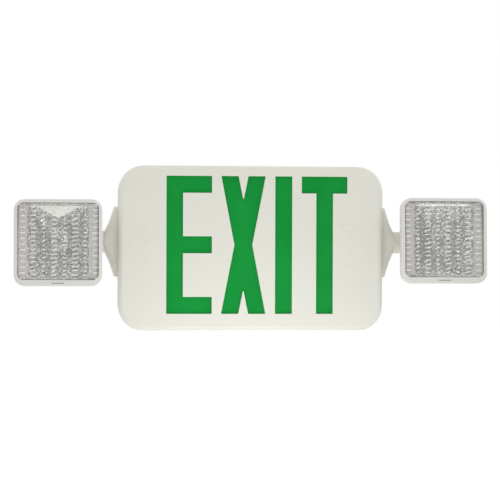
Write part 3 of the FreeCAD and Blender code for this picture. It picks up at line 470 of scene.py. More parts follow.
# ---------------------------------------------------------------- finishes
@dataclass(frozen=True)
class Finish:
    """What every finish shares: its name, and a material that starts with only its Principled shader."""

    name: str

    def build(self, effects: Effects) -> bpy.types.Material:
        """Make the material.

        Args:
            effects: the shared node groups.

        Returns:
            The material.
        """
        material = bpy.data.materials.new(self.name)
        material.use_nodes = True
        self.shade(Paint(material, effects))
        return material

    def shade(self, paint: Paint) -> None:
        """Join the finish's nodes to its shader; each finish has its own.

        Args:
            paint: the material's nodes.
        """
        raise NotImplementedError


@dataclass(frozen=True)
class Moulded(Finish):
    """Injection-moulded plastic: fine grain, slow colour drift, rubbed edges and dust on ledges."""

    color: Rgb
    far_color: Rgb
    worn_color: Rgb = (0.86, 0.86, 0.82)
    roughness: float = 0.46
    specular: float = 0.35
    grain_scale: float = 2200.0
    grain_depth: float = 0.04 * MM
    grain_share: float = 0.5
    wear: float = 0.35
    dust: float = 0.22
    coat: float = 0.0

    def shade(self, paint: Paint) -> None:
        """Join the moulding's nodes.

        Args:
            paint: the material's nodes.
        """
        drift = paint.put(Effect.MOTTLE, Color=self.color, Far_Color=self.far_color)
        rub = paint.put(Effect.WEAR, Color=drift["Color"], Worn_Color=self.worn_color, Amount=self.wear)
        dust = paint.put(Effect.DUST, Color=rub["Color"], Amount=self.dust)
        grain = paint.put(Effect.GRAIN, Scale=self.grain_scale, Base_Roughness=self.roughness)
        paint.give(Base_Color=dust["Color"], Roughness=grain["Roughness"],
                   Specular_IOR_Level=self.specular, Coat_Weight=self.coat)
        paint.emboss(grain["Height"], self.grain_depth, self.grain_share)


@dataclass(frozen=True)
class Plated(Finish):
    """Plated or bright metal with fine scratches and a faint bloom."""

    color: Rgb
    bloom: Rgb
    roughness: float = 0.32
    scale: float = 900.0
    rubbed: Rgb = (0.85, 0.85, 0.84)
    rub: float = 0.6
    scratch_depth: float = 0.02 * MM
    scratch_share: float = 0.4

    def shade(self, paint: Paint) -> None:
        """Join the plating's nodes.

        Args:
            paint: the material's nodes.
        """
        brush = paint.put(Effect.BRUSH, Color=self.color, Bloom_Color=self.bloom, Scale=self.scale,
                          Base_Roughness=self.roughness)
        rub = paint.put(Effect.WEAR, Color=brush["Color"], Worn_Color=self.rubbed, Amount=self.rub)
        paint.give(Base_Color=rub["Color"], Roughness=brush["Roughness"], Metallic=1.0)
        paint.emboss(brush["Height"], self.scratch_depth, self.scratch_share)


@dataclass(frozen=True)
class CircuitLaminate(Finish):
    """Solder mask over glass cloth, with copper tracks that stand out a little."""

    mask: Rgb
    track: Rgb
    pitch: float = 4.2 * MM
    track_w: float = 0.11
    track_run: float = 2.3
    track_height: float = 0.03 * MM
    height_share: float = 0.6
    cloth_scale: float = 1500.0
    cloth_height: float = 0.3
    cloud_scale: float = 70.0
    cloud: float = 0.25
    smooth: tuple[float, float] = (0.28, 0.42)

    def shade(self, paint: Paint) -> None:
        """Join the laminate's nodes.

        Args:
            paint: the material's nodes.
        """
        turn = paint.join(paint.add("ShaderNodeCombineXYZ"), X=paint.axis("X"), Y=paint.axis("Z"))
        tracks = paint.add("ShaderNodeTexBrick", offset=0.5, squash=0.6)
        paint.join(tracks, Vector=turn.outputs[0], Scale=1.0, Mortar_Size=self.pitch * self.track_w,
                   Mortar_Smooth=0.1, Brick_Width=self.pitch * self.track_run, Row_Height=self.pitch)
        track = tracks.outputs["Fac"]
        cloth = paint.noise(self.cloth_scale)
        green = paint.put(Effect.MOTTLE, Color=self.mask, Far_Color=self.track, Scale=self.cloud_scale,
                          Amount=self.cloud)
        paint.give(Base_Color=paint.mix(track, green["Color"], self.track),
                   Roughness=paint.spread(cloth, *self.smooth))
        height = paint.plus(track, paint.times(cloth, self.cloth_height))
        paint.emboss(height, self.track_height, self.height_share)


@dataclass(frozen=True)
class Banded(Finish):
    """A body with even bands across one axis: steel laminations, or a printed shrink sleeve."""

    color: Rgb
    band: Rgb
    along: str
    pitch: float
    share: float = 0.5
    roughness: float = 0.38
    metallic: float = 0.0
    rubbed: Rgb = (0.6, 0.6, 0.6)
    rub: float = 0.4
    grain_scale: float = 1600.0
    grain_height: float = 0.2
    band_height: float = 0.05 * MM
    height_share: float = 0.5

    def shade(self, paint: Paint) -> None:
        """Join the banded body's nodes.

        Args:
            paint: the material's nodes.
        """
        along = paint.axis(self.along)
        band = paint.put(Effect.BANDS, Along=along, Pitch=self.pitch, Share=self.share)["Mask"]
        color = paint.mix(band, self.color, self.band)
        rub = paint.put(Effect.WEAR, Color=color, Worn_Color=self.rubbed, Amount=self.rub)
        grain = paint.put(Effect.GRAIN, Scale=self.grain_scale, Base_Roughness=self.roughness)
        paint.give(Base_Color=rub["Color"], Roughness=grain["Roughness"], Metallic=self.metallic)
        height = paint.plus(band, paint.times(grain["Height"], self.grain_height))
        paint.emboss(height, self.band_height, self.height_share)


@dataclass(frozen=True)
class LegendFilm(Finish):
    """Coloured diffusing panel: an even dye with a fine matt tooth and a faint cloud."""

    color: Rgb
    far_color: Rgb
    roughness: float = 0.62
    specular: float = 0.06
    cloud_scale: float = 24.0
    cloud: float = 0.8
    tooth_scale: float = 3000.0
    tooth_depth: float = 0.02 * MM
    tooth_share: float = 0.3

    def shade(self, paint: Paint) -> None:
        """Join the panel's nodes.

        Args:
            paint: the material's nodes.
        """
        cloud = paint.put(Effect.MOTTLE, Color=self.color, Far_Color=self.far_color, Scale=self.cloud_scale,
                          Amount=self.cloud)
        grain = paint.put(Effect.GRAIN, Scale=self.tooth_scale, Base_Roughness=self.roughness)
        paint.give(Base_Color=cloud["Color"], Roughness=grain["Roughness"],
                   Specular_IOR_Level=self.specular)
        paint.emboss(grain["Height"], self.tooth_depth, self.tooth_share)


@dataclass(frozen=True)
class ClearLens(Finish):
    """Clear polycarbonate with prism bars: nearly see-through, with a painted white highlight where a prism
    gathers the light and a painted shadow along the frame.
    """

    # color shows where the lens is made opaque, mostly as the painted highlights; shadow is the painted
    # shadow along the frame
    color: Rgb = (0.88, 0.88, 0.86)
    shadow: Rgb = (0.16, 0.16, 0.155)
    shadow_from: float = 0.1
    clear: float = 0.11
    # strength of the painted highlights in the dish and on the strips, then of the painted shadow on the lit
    # and on the shaded sides
    painted_highlight: float = 0.62
    strip_painted_highlight: float = 0.55
    rim_shadow_most: float = 0.5
    rim_light: float = 0.14
    dish_rows: float = 1.34
    ior: float = 1.58
    haze_scale: float = 700.0
    haze: tuple[float, float] = (-0.05, 0.08)
    smooth: tuple[float, float] = (0.06, 0.16)

    def shade(self, paint: Paint) -> None:
        """Join the lens's nodes.

        Args:
            paint: the material's nodes.
        """
        across, up = paint.attribute("across"), paint.attribute("up")
        reach = paint.larger(paint.math("ABSOLUTE", across), paint.math("ABSOLUTE", up))
        dish = paint.math("LESS_THAN", reach, 1.0)
        row = paint.times(paint.attribute("row"), paint.choose(dish, 1.0, self.dish_rows))
        dash = paint.put(Effect.DASHES, Flute=paint.attribute("flute"), Row=row, Ragged=dish)["Mask"]
        # painted highlight: each prism dash made more opaque, so that it shows the pale lens colour
        gather = paint.times(dash, paint.choose(dish, self.strip_painted_highlight, self.painted_highlight))
        haze = paint.span(paint.noise(self.haze_scale, 3.0), 0.35, 0.65, *self.haze)
        veil = paint.plus(paint.plus(gather, self.clear), haze)
        # painted shadow where the lens meets its frame, darkest on the top and on the inner side
        shaded = paint.span(paint.larger(up, across), 0.2, 1.0, self.rim_light, self.rim_shadow_most)
        edge = paint.times(paint.span(paint.attribute("rim"), 0.35, 0.75), shaded)
        dark = paint.math("GREATER_THAN", edge, self.shadow_from)
        paint.give(Base_Color=paint.mix(dark, self.color, self.shadow),
                   Alpha=paint.larger(veil, edge, clamp=True),
                   Roughness=paint.span(haze, *self.haze, *self.smooth), IOR=self.ior)


@dataclass(frozen=True)
class SilveredFacets(Finish):
    """Vacuum-silvered plastic: a calm flange round facets whose colours are painted reflections, each of
    another part of the room.
    """

    # dark and bright: painted reflections of the room's dark and bright parts; flange: the flange's own
    # colour
    dark: Rgb = (0.15, 0.15, 0.15)
    bright: Rgb = (0.92, 0.92, 0.90)
    flange: Rgb = (0.445, 0.42, 0.40)
    flange_far: Rgb = (0.385, 0.365, 0.345)
    roughness: float = 0.34
    dark_roughness: float = 0.48
    cloud_scale: float = 60.0
    reflection_speckle_scale: float = 760.0
    reflection_speckle: tuple[float, float] = (0.26, -0.24)
    ripple_scale: float = 1100.0
    ripple_depth: float = 0.1 * MM
    ripple_share: float = 0.4

    def shade(self, paint: Paint) -> None:
        """Join the silvering's nodes.

        Args:
            paint: the material's nodes.
        """
        # painted reflection: each facet's written tone, with a finer painted speckle, picks its colour
        # between dark and bright
        reflection_speckle = paint.span(paint.cells(self.reflection_speckle_scale), 0.0, 0.8, *self.reflection_speckle)
        tone = paint.math("ADD", paint.attribute("tone"), reflection_speckle, clamp=True)
        plain = paint.put(Effect.MOTTLE, Color=self.flange, Far_Color=self.flange_far,
                          Scale=self.cloud_scale)
        facets = paint.mix(tone, self.dark, self.bright)
        paint.give(Base_Color=paint.mix(paint.attribute("calm"), facets, plain["Color"]),
                   Roughness=paint.choose(tone, self.dark_roughness, self.roughness), Metallic=1.0)
        paint.emboss(paint.noise(self.ripple_scale, 3.0), self.ripple_depth, self.ripple_share)


# ---------------------------------------------------------------- mesh work
def rounded_outline(half_w: float, half_h: float, radius: float, steps: int,
                    centre: Point = (0.0, 0.0)) -> list[Point]:
    """Outline of a rounded rectangle, anticlockwise from the right-hand side's top.

    Args:
        half_w: half of its width.
        half_h: half of its height.
        radius: corner radius.
        steps: divisions of each corner.
        centre: its middle.

    Returns:
        The points.
    """
    points = []
    for quarter, (sx, sz) in enumerate(((1, 1), (-1, 1), (-1, -1), (1, -1))):
        mid = (centre[0] + sx * (half_w - radius), centre[1] + sz * (half_h - radius))
        for step in range(steps + 1):
            angle = math.radians(90.0) * (quarter + step / steps)
            points.append((mid[0] + radius * math.cos(angle), mid[1] + radius * math.sin(angle)))
    return points


@dataclass
class Corner:
    """One rounded corner of an outline: its arc's centre and the angles it turns through."""

    centre: Vector
    start: float
    sweep: float
    radius: float

    def points(self, grow: float, steps: int) -> list[Point]:
        """Give the arc's points.

        Args:
            grow: how far the outline is moved outward.
            steps: divisions of the arc.

        Returns:
            The points in order.
        """
        reach = self.radius + grow * (1.0 if self.sweep > 0 else -1.0)
        angles = [self.start + self.sweep * i / steps for i in range(steps + 1)]
        return [(self.centre.x + reach * math.cos(a), self.centre.y + reach * math.sin(a)) for a in angles]


def front_frame(low: Vector, high: Vector) -> tuple[Point, Point]:
    """Give the middle of a box seen from the front, and half of its width and height."""
    return ((low.x + high.x) / 2, (low.z + high.z) / 2), ((high.x - low.x) / 2, (high.z - low.z) / 2)


def soft_outline(corners: Sequence[tuple[float, float, float]], grow: float, steps: int = 3) -> list[Point]:
    """Outline with each corner rounded, moved outward by grow.

    Args:
        corners: x, z and radius of each corner, anticlockwise.
        grow: outward move; inner corners' radii must be larger than it.
        steps: divisions of each corner.

    Returns:
        The points.
    """
    points: list[Point] = []
    count = len(corners)
    for i, (x, z, radius) in enumerate(corners):
        here = Vector((x, z))
        back = (Vector(corners[i - 1][:2]) - here).normalized()
        ahead = (Vector(corners[(i + 1) % count][:2]) - here).normalized()
        bisector = (back + ahead).normalized()
        half = back.angle(ahead) / 2
        centre = here + bisector * (radius / math.sin(half))
        turn = 1.0 if back.x * ahead.y - back.y * ahead.x < 0 else -1.0
        out = -bisector
        swing = math.pi / 2 - half
        start = math.atan2(out.y, out.x) - turn * swing
        points += Corner(centre, start, 2 * swing * turn, radius).points(grow, steps)
    return points


class MeshJob:
    """A mesh under construction, in metres in the part's frame."""

    def __init__(self, name: str) -> None:
        """Start an empty mesh."""
        self.name = name
        self.bm = bmesh.new()

    def ring(self, outline: Iterable[Point], y: float) -> list[bmesh.types.BMVert]:
        """Lay an outline's points down at one depth."""
        return [self.bm.verts.new((x, y, z)) for x, z in outline]

    def bridge(self, a: list[bmesh.types.BMVert], b: list[bmesh.types.BMVert]) -> None:
        """Join two closed rings with quads.

        Args:
            a: the first ring.
            b: the second ring, of as many points.
        """
        count = len(a)
        for i in range(count):
            self.bm.faces.new((a[i], a[(i + 1) % count], b[(i + 1) % count], b[i]))

    def chain(self, rings: Sequence[list[bmesh.types.BMVert]]) -> None:
        """Join rings one after the other."""
        for a, b in zip(rings, rings[1:]):
            self.bridge(a, b)

    def loft(self, outlines: Iterable[tuple[Iterable[Point], float]]) -> list[list[bmesh.types.BMVert]]:
        """Join outlines at their depths, one after the other.

        Args:
            outlines: each outline with its depth.

        Returns:
            The rings, in order.
        """
        rings = [self.ring(outline, y) for outline, y in outlines]
        self.chain(rings)
        return rings

    def sheet(self, *rings: list[bmesh.types.BMVert]) -> None:
        """Fill a flat region.

        Args:
            rings: the region's outer edge, then the edges of its openings.
        """
        edges = []
        for ring in rings:
            for i, vert in enumerate(ring):
                pair = (vert, ring[(i + 1) % len(ring)])
                edges.append(self.bm.edges.get(pair) or self.bm.edges.new(pair))
        bmesh.ops.triangle_fill(self.bm, use_beauty=True, edges=edges)

    def publish(self, body: str, material: bpy.types.Material, turn: Matrix | None = None,
                even: bool = False) -> bpy.types.Object:
        """Turn the work into a piece of the part.

        Args:
            body: the body that it rides on.
            material: its finish.
            turn: placement applied to the mesh.
            even: weight the normals by face area, for large flats beside tight rounds.

        Returns:
            The piece.
        """
        if turn is not None:
            self.bm.transform(turn)
            if turn.determinant() < 0:
                bmesh.ops.reverse_faces(self.bm, faces=self.bm.faces)
        bmesh.ops.recalc_face_normals(self.bm, faces=self.bm.faces)
        for face in self.bm.faces:
            face.smooth = True
        for edge in self.bm.edges:
            edge.smooth = len(edge.link_faces) == 2 and edge.calc_face_angle(0.0) < SHARP_ANGLE
        mesh = bpy.data.meshes.new(self.name)
        self.bm.to_mesh(mesh)
        self.bm.free()
        piece = bpy.data.objects.new(self.name, mesh)
        bpy.context.scene.collection.objects.link(piece)
        mesh.materials.append(material)
        if even:
            weighted = piece.modifiers.new("even normals", "WEIGHTED_NORMAL")
            weighted.keep_sharp = True
        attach(piece, body)
        return piece


def dress(finish: Finish, effects: Effects, nodes: Iterable[str]) -> bpy.types.Material:
    """Make a finish and give it to carried-over pieces.

    Args:
        finish: the finish.
        effects: the shared node groups.
        nodes: the pieces' names in the frame.

    Returns:
        The material.
    """
    material = finish.build(effects)
    for node in nodes:
        mesh = frame["nodes"][node].data
        mesh.materials.clear()
        mesh.materials.append(material)
    return material


# ---------------------------------------------------------------- stencilled face
@dataclass
class BlockLetters:
    """The word EXIT in plain block strokes, with its sizes in metres."""

    height: float = 152.0 * MM
    base: float = -72.2 * MM
    arm: float = 18.6 * MM
    e_left: float = -93.8 * MM
    e_width: float = 50.1 * MM
    e_stem: float = 18.2 * MM
    e_middle: float = -5.4 * MM
    x_left: float = -33.3 * MM
    x_width: float = 49.0 * MM
    x_stroke: float = 19.0 * MM
    x_waist: float = 19.7 * MM
    x_waist_left: float = 14.6 * MM
    x_notch: float = 27.2 * MM
    i_left: float = 26.5 * MM
    i_width: float = 18.8 * MM
    t_left: float = 55.9 * MM
    t_width: float = 50.9 * MM
    t_stem_left: float = 16.3 * MM
    t_stem: float = 18.6 * MM
    corner: float = 0.6 * MM
    tip: float = 0.5 * MM

    def outlines(self) -> dict[str, list[tuple[float, float, float]]]:
        """Give each letter's corners with their radii, anticlockwise.

        Returns:
            The corners by letter.
        """
        low, high = self.base, self.base + self.height
        left, right, stem = self.e_left, self.e_left + self.e_width, self.e_left + self.e_stem
        mid_low, mid_high = self.e_middle, self.e_middle + self.arm
        foot, bar = low + self.arm, high - self.arm
        letter_e = [(left, low), (right, low), (right, foot), (stem, foot), (stem, mid_low), (right, mid_low),
                    (right, mid_high), (stem, mid_high), (stem, bar), (right, bar), (right, high),
                    (left, high)]
        x0, x3 = self.x_left, self.x_left + self.x_width
        x1, x2 = x0 + self.x_stroke, x3 - self.x_stroke
        centre, waist_z = (x0 + x3) / 2, (low + high) / 2
        waist_l, waist_r = x0 + self.x_waist_left, x0 + self.x_waist_left + self.x_waist
        letter_x = [(x0, low), (x1, low), (centre, low + self.x_notch), (x2, low), (x3, low),
                    (waist_r, waist_z), (x3, high), (x2, high), (centre, high - self.x_notch), (x1, high),
                    (x0, high), (waist_l, waist_z)]
        i0, i1 = self.i_left, self.i_left + self.i_width
        letter_i = [(i0, low), (i1, low), (i1, high), (i0, high)]
        t0, t3, t1 = self.t_left, self.t_left + self.t_width, self.t_left + self.t_stem_left
        t2 = t1 + self.t_stem
        letter_t = [(t1, low), (t2, low), (t2, bar), (t3, bar), (t3, high), (t0, high), (t0, bar), (t1, bar)]
        plain = {"E": letter_e, "X": letter_x, "I": letter_i, "T": letter_t}
        soft = {key: [(x, z, self.corner) for x, z in corners] for key, corners in plain.items()}
        soft["X"] = [(x, z, self.tip if x == centre else self.corner) for x, z in letter_x]
        return soft


@dataclass
class StencilFace:
    """Snap-on cover whose face is pierced by the word and scored with a knock-out chevron each side."""

    letters: BlockLetters = field(default_factory=BlockLetters)
    corner_radius: float = 28.5 * MM
    wall: float = 2.5 * MM
    edge_radius: float = 6.0 * MM
    skirt: float = 10.0 * MM
    lap: float = 4.15 * MM
    lap_share: float = 0.5
    edge_break: float = 0.4 * MM
    break_share: float = 0.29
    corner_steps: int = 16
    edge_steps: int = 10
    chevron_tip: float = 136.05 * MM
    chevron_z: float = 4.5 * MM
    chevron_half_h: float = 21.9 * MM
    chevron_w: float = 37.1 * MM
    chevron_arm: float = 17.6 * MM
    score_w: float = 0.6 * MM
    score_d: float = 0.25 * MM
    score_steps: int = 2

    def build(self, material: bpy.types.Material) -> bpy.types.Object:
        """Build the cover in the place of the plain one.

        Args:
            material: its finish.

        Returns:
            The cover.
        """
        low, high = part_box("front_cover")
        half_w, half_h, face = high.x, high.z, low.y
        joint = face + self.skirt

        def outline(inset: float) -> list[Point]:
            """Give the cover's outline, moved in by inset."""
            radius = self.corner_radius - inset
            return rounded_outline(half_w - inset, half_h - inset, radius, self.corner_steps)

        job = MeshJob("front_cover_stencil")
        middle, fillet = face + self.edge_radius, self.edge_radius - self.wall
        lap_in, lap_y = self.wall * self.lap_share, joint - self.lap
        outside = self.quarter(self.edge_radius, middle)
        inside = [(lap_in, joint), (lap_in, lap_y), (self.wall, lap_y)]
        inside += [(self.wall + inset, y) for inset, y in self.quarter(fillet, middle)]
        start = job.ring(outline(0.0), joint)
        last = {}
        for key, course in (("front", outside), ("back", inside)):
            rings = [start] + [job.ring(outline(inset), y) for inset, y in course]
            job.chain(rings)
            last[key] = rings[-1]
        fronts, backs = self.pierce(job, face)
        islands, scores = self.score(job, face)
        job.sheet(last["front"], *fronts, *scores)
        for island in islands:
            job.sheet(island)
        job.sheet(last["back"], *backs)
        piece = job.publish("housing", material, even=True)
        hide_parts("front_cover")
        return piece

    def quarter(self, radius: float, centre_y: float) -> list[tuple[float, float]]:
        """Give the insets and depths of a quarter round that turns to the front.

        Args:
            radius: of the round.
            centre_y: depth of its centre.

        Returns:
            Inset and depth of each ring.
        """
        angles = [math.radians(90.0) * i / self.edge_steps for i in range(self.edge_steps + 1)]
        return [(radius * (1 - math.cos(a)), centre_y - radius * math.sin(a)) for a in angles]

    def pierce(self, job: MeshJob, face: float) -> tuple[list, list]:
        """Cut the letters: a broken front edge, then a straight wall through the face.

        Args:
            job: the mesh.
            face: depth of the front face.

        Returns:
            The rings of the openings at the front and at the back.
        """
        fronts, backs = [], []
        for corners in self.letters.outlines().values():
            part_way = self.edge_break * self.break_share
            courses = ((self.edge_break, 0.0), (part_way, part_way), (0.0, self.edge_break), (0.0, self.wall))
            rings = job.loft((soft_outline(corners, grow), face + depth) for grow, depth in courses)
            fronts.append(rings[0])
            backs.append(rings[-1])
        return fronts, backs

    def score(self, job: MeshJob, face: float) -> tuple[list, list]:
        """Cut the V-shaped score round each chevron.

        Args:
            job: the mesh.
            face: depth of the front face.

        Returns:
            The rings of the chevrons' own faces and of the scores' outer edges.
        """
        islands, scores = [], []
        half = self.score_w / 2
        tip, arm, run = self.chevron_tip, self.chevron_arm, self.chevron_w - self.chevron_arm
        mid = self.chevron_z
        top, bottom = mid + self.chevron_half_h, mid - self.chevron_half_h
        corners = [(tip, mid), (tip - run, top), (tip - run - arm, top), (tip - arm, mid),
                   (tip - run - arm, bottom), (tip - run, bottom)]
        for side in (1, -1):
            turned = [(side * x, z, self.score_w) for x, z in corners][::side]
            courses = ((half, 0.0), (0.0, self.score_d), (-half, 0.0))
            rings = job.loft((soft_outline(turned, grow, self.score_steps), face + depth)
                             for grow, depth in courses)
            scores.append(rings[0])
            islands.append(rings[-1])
        return islands, scores


# ---------------------------------------------------------------- lamp heads
class Side(Enum):
    """Which end of the sign box."""

    LEFT = "left"
    RIGHT = "right"

    @property
    def outward(self) -> int:
        """Sign of x towards this end."""
        return -1 if self is Side.LEFT else 1


FACET_SEEDS = {Side.LEFT: 11, Side.RIGHT: 23}


@dataclass
class LampHead:
    """A lamp head's optics: a clear lens with pillowed prisms over a silvered dish of facets."""

    side: Side
    corner_steps: int = 10
    lens_radius: float = 7.6 * MM
    plate: float = 1.2 * MM
    prism_margin: float = 4.0 * MM
    prism_pitch: float = 6.2 * MM
    flute_pitch: float = 11.2 * MM
    flute_shift: float = 4.3 * MM
    flutes_left: float = 4.5
    rim_w: float = 1.7 * MM
    prism_steps: int = 4
    dish_w: float = 66.5 * MM
    dish_h: float = 79.9 * MM
    dish_radius: float = 9.0 * MM
    dish_floor: float = 24.0 * MM
    dish_wall: float = 1.2 * MM
    facet_across: int = 20
    facet_rows: int = 26
    facet_bulge: float = 0.55 * MM
    facet_sway: float = 0.3
    facet_least: float = 0.5
    facet_start: float = 0.3 * MM
    # tones of the painted reflections: the least for the top row's painted highlight, and the spread of the
    # rest
    overhead_highlight_tone: float = 0.6
    reflection_tone_spread: tuple[float, float] = (1.0, 2.3)
    pivot: Vector = field(init=False)
    pitch: float = field(init=False)

    def __post_init__(self) -> None:
        """Read the lamp's swivel axis and rest pitch from the frame's joints."""
        joints = {joint["name"]: joint for joint in frame["joints"]}
        self.pivot = Vector(joints[self.node("swivel")]["pos_m"])
        axis = joints[self.node("tilt")]["axis"]
        self.pitch = math.atan2(-axis[1], axis[2])

    def node(self, piece: str) -> str:
        """Name of this side's node or joint."""
        return f"{self.side.value}_{piece}"

    def placement(self) -> Matrix:
        """Placement of a mesh drawn with the lamp facing straight ahead."""
        turn = Matrix.Rotation(self.pitch, 4, "X")
        return Matrix.Translation(self.pivot) @ turn @ Matrix.Translation(-self.pivot)

    def straight_box(self, node: str) -> tuple[Vector, Vector]:
        """Give a node's box with the lamp turned back to face straight ahead.

        Args:
            node: the node's name without its side.

        Returns:
            Its lowest and highest corners.
        """
        back = self.placement().inverted()
        points = [back @ vert.co for vert in frame["nodes"][self.node(node)].data.vertices]
        low = Vector(tuple(min(p[i] for p in points) for i in range(3)))
        high = Vector(tuple(max(p[i] for p in points) for i in range(3)))
        return low, high

    def build(self, clear: bpy.types.Material, silver: bpy.types.Material) -> list[bpy.types.Object]:
        """Build the lens and the reflector.

        Args:
            clear: the lens's finish.
            silver: the reflector's finish.

        Returns:
            The two pieces.
        """
        return [self.lens(clear), self.reflector(silver)]

    @staticmethod
    def grid(job: MeshJob, xs: list[float], zs: list[float],
             spot: Callable[[float, float], Spot]) -> list[list[bmesh.types.BMVert]]:
        """Lay a grid of quads.

        Args:
            job: the mesh.
            xs: places of the columns.
            zs: places of the rows.
            spot: point of the surface from its column and row.

        Returns:
            The vertices by row.
        """
        rows = [[job.bm.verts.new(spot(x, z)) for x in xs] for z in zs]
        for low, high in zip(rows, rows[1:]):
            for i in range(len(xs) - 1):
                job.bm.faces.new((low[i], low[i + 1], high[i + 1], high[i]))
        return rows

    @staticmethod
    def border(rows: list[list[bmesh.types.BMVert]]) -> list[bmesh.types.BMVert]:
        """Give the vertices round a grid's border.

        Args:
            rows: the grid's vertices by row.

        Returns:
            The border's vertices, anticlockwise from the lowest corner.
        """
        bottom, top = rows[0], rows[-1]
        right = [row[-1] for row in rows[1:-1]]
        left = [row[0] for row in rows[1:-1]]
        return bottom + right + top[::-1] + left[::-1]

    def lens(self, material: bpy.types.Material) -> bpy.types.Object:
        """Build the lens: a flat plate whose back is a field of pillows, one per prism and flute.

        Args:
            material: its finish.

        Returns:
            The lens.
        """
        low, high = self.straight_box("lens")
        (cx, cz), (half_w, half_h) = middle, half = front_frame(low, high)
        job = MeshJob(self.node("lens_prisms"))
        outline, inner = (rounded_outline(half_w - inset, half_h - inset, self.lens_radius - inset,
                                          self.corner_steps, middle) for inset in (0.0, self.rim_w))
        front, _, back = job.loft([(inner, low.y), (outline, low.y), (outline, low.y + self.plate)])
        job.sheet(front)
        rows = int(2 * (half_h - self.prism_margin) / self.prism_pitch)
        z0 = cz - rows * self.prism_pitch / 2
        steps = self.prism_steps
        step = self.flute_pitch / steps
        count = 2 * int((half_w - self.prism_margin) / step)
        xs = [cx + step * (i - count / 2) for i in range(count + 1)]
        x0 = cx + self.side.outward * self.flute_shift - self.flute_pitch * self.flutes_left
        zs = [z0 + self.prism_pitch * i / steps for i in range(rows * steps + 1)]
        deep = high.y - low.y - self.plate

        def pillow(x: float, z: float) -> Spot:
            """Raise a point of the back into its pillow.

            Args:
                x: its column's place.
                z: its row's place.

            Returns:
                The point.
            """
            across = abs(math.sin(math.pi * (x - x0) / self.flute_pitch)) if xs[0] < x < xs[-1] else 0.0
            along = abs(math.sin(math.pi * (z - z0) / self.prism_pitch))
            return x, low.y + self.plate + deep * math.sqrt(across * along), z

        pillows = self.grid(job, xs, zs, pillow)
        job.sheet(back, self.border(pillows))
        piece = job.publish(self.node("head"), material, self.placement())
        self.mark_prisms(piece, (x0, z0), middle, half)
        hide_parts(self.node("lens"))
        return piece

    def mark_prisms(self, piece: bpy.types.Object, start: Point, middle: Point, half: Point) -> None:
        """Write each point's place in flutes and rows, for the painted highlights, and where the lens meets
        its frame, for the painted shadow.

        Args:
            piece: the lens.
            start: x where the first flute and z where the lowest row starts.
            middle: x and z of the lens's middle.
            half: half of its width and height.
        """
        back = self.placement().inverted()
        points = [back @ vert.co for vert in piece.data.vertices]
        inner = min(half) - self.rim_w / 2
        # across grows towards the sign box, so the painted shadow round the lens is darker on that side
        inward = -self.side.outward
        marks = {
            "flute": [(p.x - start[0]) / self.flute_pitch for p in points],
            "row": [(p.z - start[1]) / self.prism_pitch + 1.0 for p in points],
            "across": [inward * (p.x - middle[0]) / (self.dish_w / 2) for p in points],
            "up": [(p.z - middle[1]) / (self.dish_h / 2) for p in points],
            "rim": [float(self.reach(p, middle, half) > inner) for p in points],
        }
        self.write(piece, "POINT", marks)

    @staticmethod
    def write(piece: bpy.types.Object, where: str, marks: dict[str, list[float]]) -> None:
        """Write numbers on a mesh for its finish to read.

        Args:
            piece: the piece.
            where: Blender's name of what each number belongs to.
            marks: the numbers by the attribute's name.
        """
        for name, values in marks.items():
            piece.data.attributes.new(name, "FLOAT", where).data.foreach_set("value", values)

    @staticmethod
    def reach(point: Vector, middle: Point, half: Point) -> float:
        """Give how far out of the middle a point lies, as the smaller half size of an outline through it."""
        short = min(half)
        return short + max(abs(point.x - middle[0]) - half[0], abs(point.z - middle[1]) - half[1])

    def reflector(self, material: bpy.types.Material) -> bpy.types.Object:
        """Build the reflector: a flat flange and a dish of small facets down to the square floor.

        Args:
            material: its finish.

        Returns:
            The reflector.
        """
        low, high = self.straight_box("reflector")
        (cx, cz), _ = middle, _ = front_frame(low, high)
        _, (half_w, half_h) = front_frame(*self.straight_box("lens"))
        mouth, floor = low.y, high.y
        job = MeshJob(self.node("reflector_facets"))
        outline = rounded_outline(half_w, half_h, self.lens_radius, self.corner_steps, middle)
        front, back = job.loft([(outline, mouth), (outline, mouth + self.dish_wall)])
        chance = random.Random(FACET_SEEDS[self.side])
        xs = [cx + self.dish_w * (i / self.facet_across - 0.5) for i in range(self.facet_across + 1)]
        zs = [cz + self.dish_h * (i / self.facet_rows - 0.5) for i in range(self.facet_rows + 1)]
        floor_share = self.dish_floor / ((self.dish_w + self.dish_h) / 2)

        def sunk(x: float, z: float) -> Spot:
            """Sink a point into the dish, with the corners of the mouth rounded.

            Args:
                x: its column's place.
                z: its row's place.

            Returns:
                The point.
            """
            dx, dz = x - cx, z - cz
            out = max(abs(dx) / (self.dish_w / 2), abs(dz) / (self.dish_h / 2))
            depth = mouth + (floor - mouth) * min(1.0, (1.0 - out) / (1.0 - floor_share))
            px, pz = self.dish_w / 2 - self.dish_radius, self.dish_h / 2 - self.dish_radius
            over = Vector((abs(dx) - px, abs(dz) - pz))
            if over.x <= 0 or over.y <= 0 or over.length <= self.dish_radius:
                return x, depth, z
            over *= self.dish_radius / over.length
            return cx + math.copysign(px + over.x, dx), depth, cz + math.copysign(pz + over.y, dz)

        rows = self.grid(job, xs, zs, sunk)
        job.sheet(front, self.border(rows))
        inner = {v for row in rows for v in row}
        cells = [face for face in job.bm.faces if len(face.verts) == 4 and inner.issuperset(face.verts)]
        result = bmesh.ops.poke(job.bm, faces=cells, offset=0.0)
        for vert in result["verts"]:
            vert.co.x += chance.uniform(-self.facet_sway, self.facet_sway) * self.facet_bulge
            vert.co.y -= chance.uniform(self.facet_least, 1.0) * self.facet_bulge
            vert.co.z += chance.uniform(-self.facet_sway, self.facet_sway) * self.facet_bulge
        piece = job.publish(self.node("head"), material, self.placement())
        self.paint_facet_reflections(piece, chance, mouth, cz + self.dish_h / 2)
        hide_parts(self.node("reflector"))
        return piece

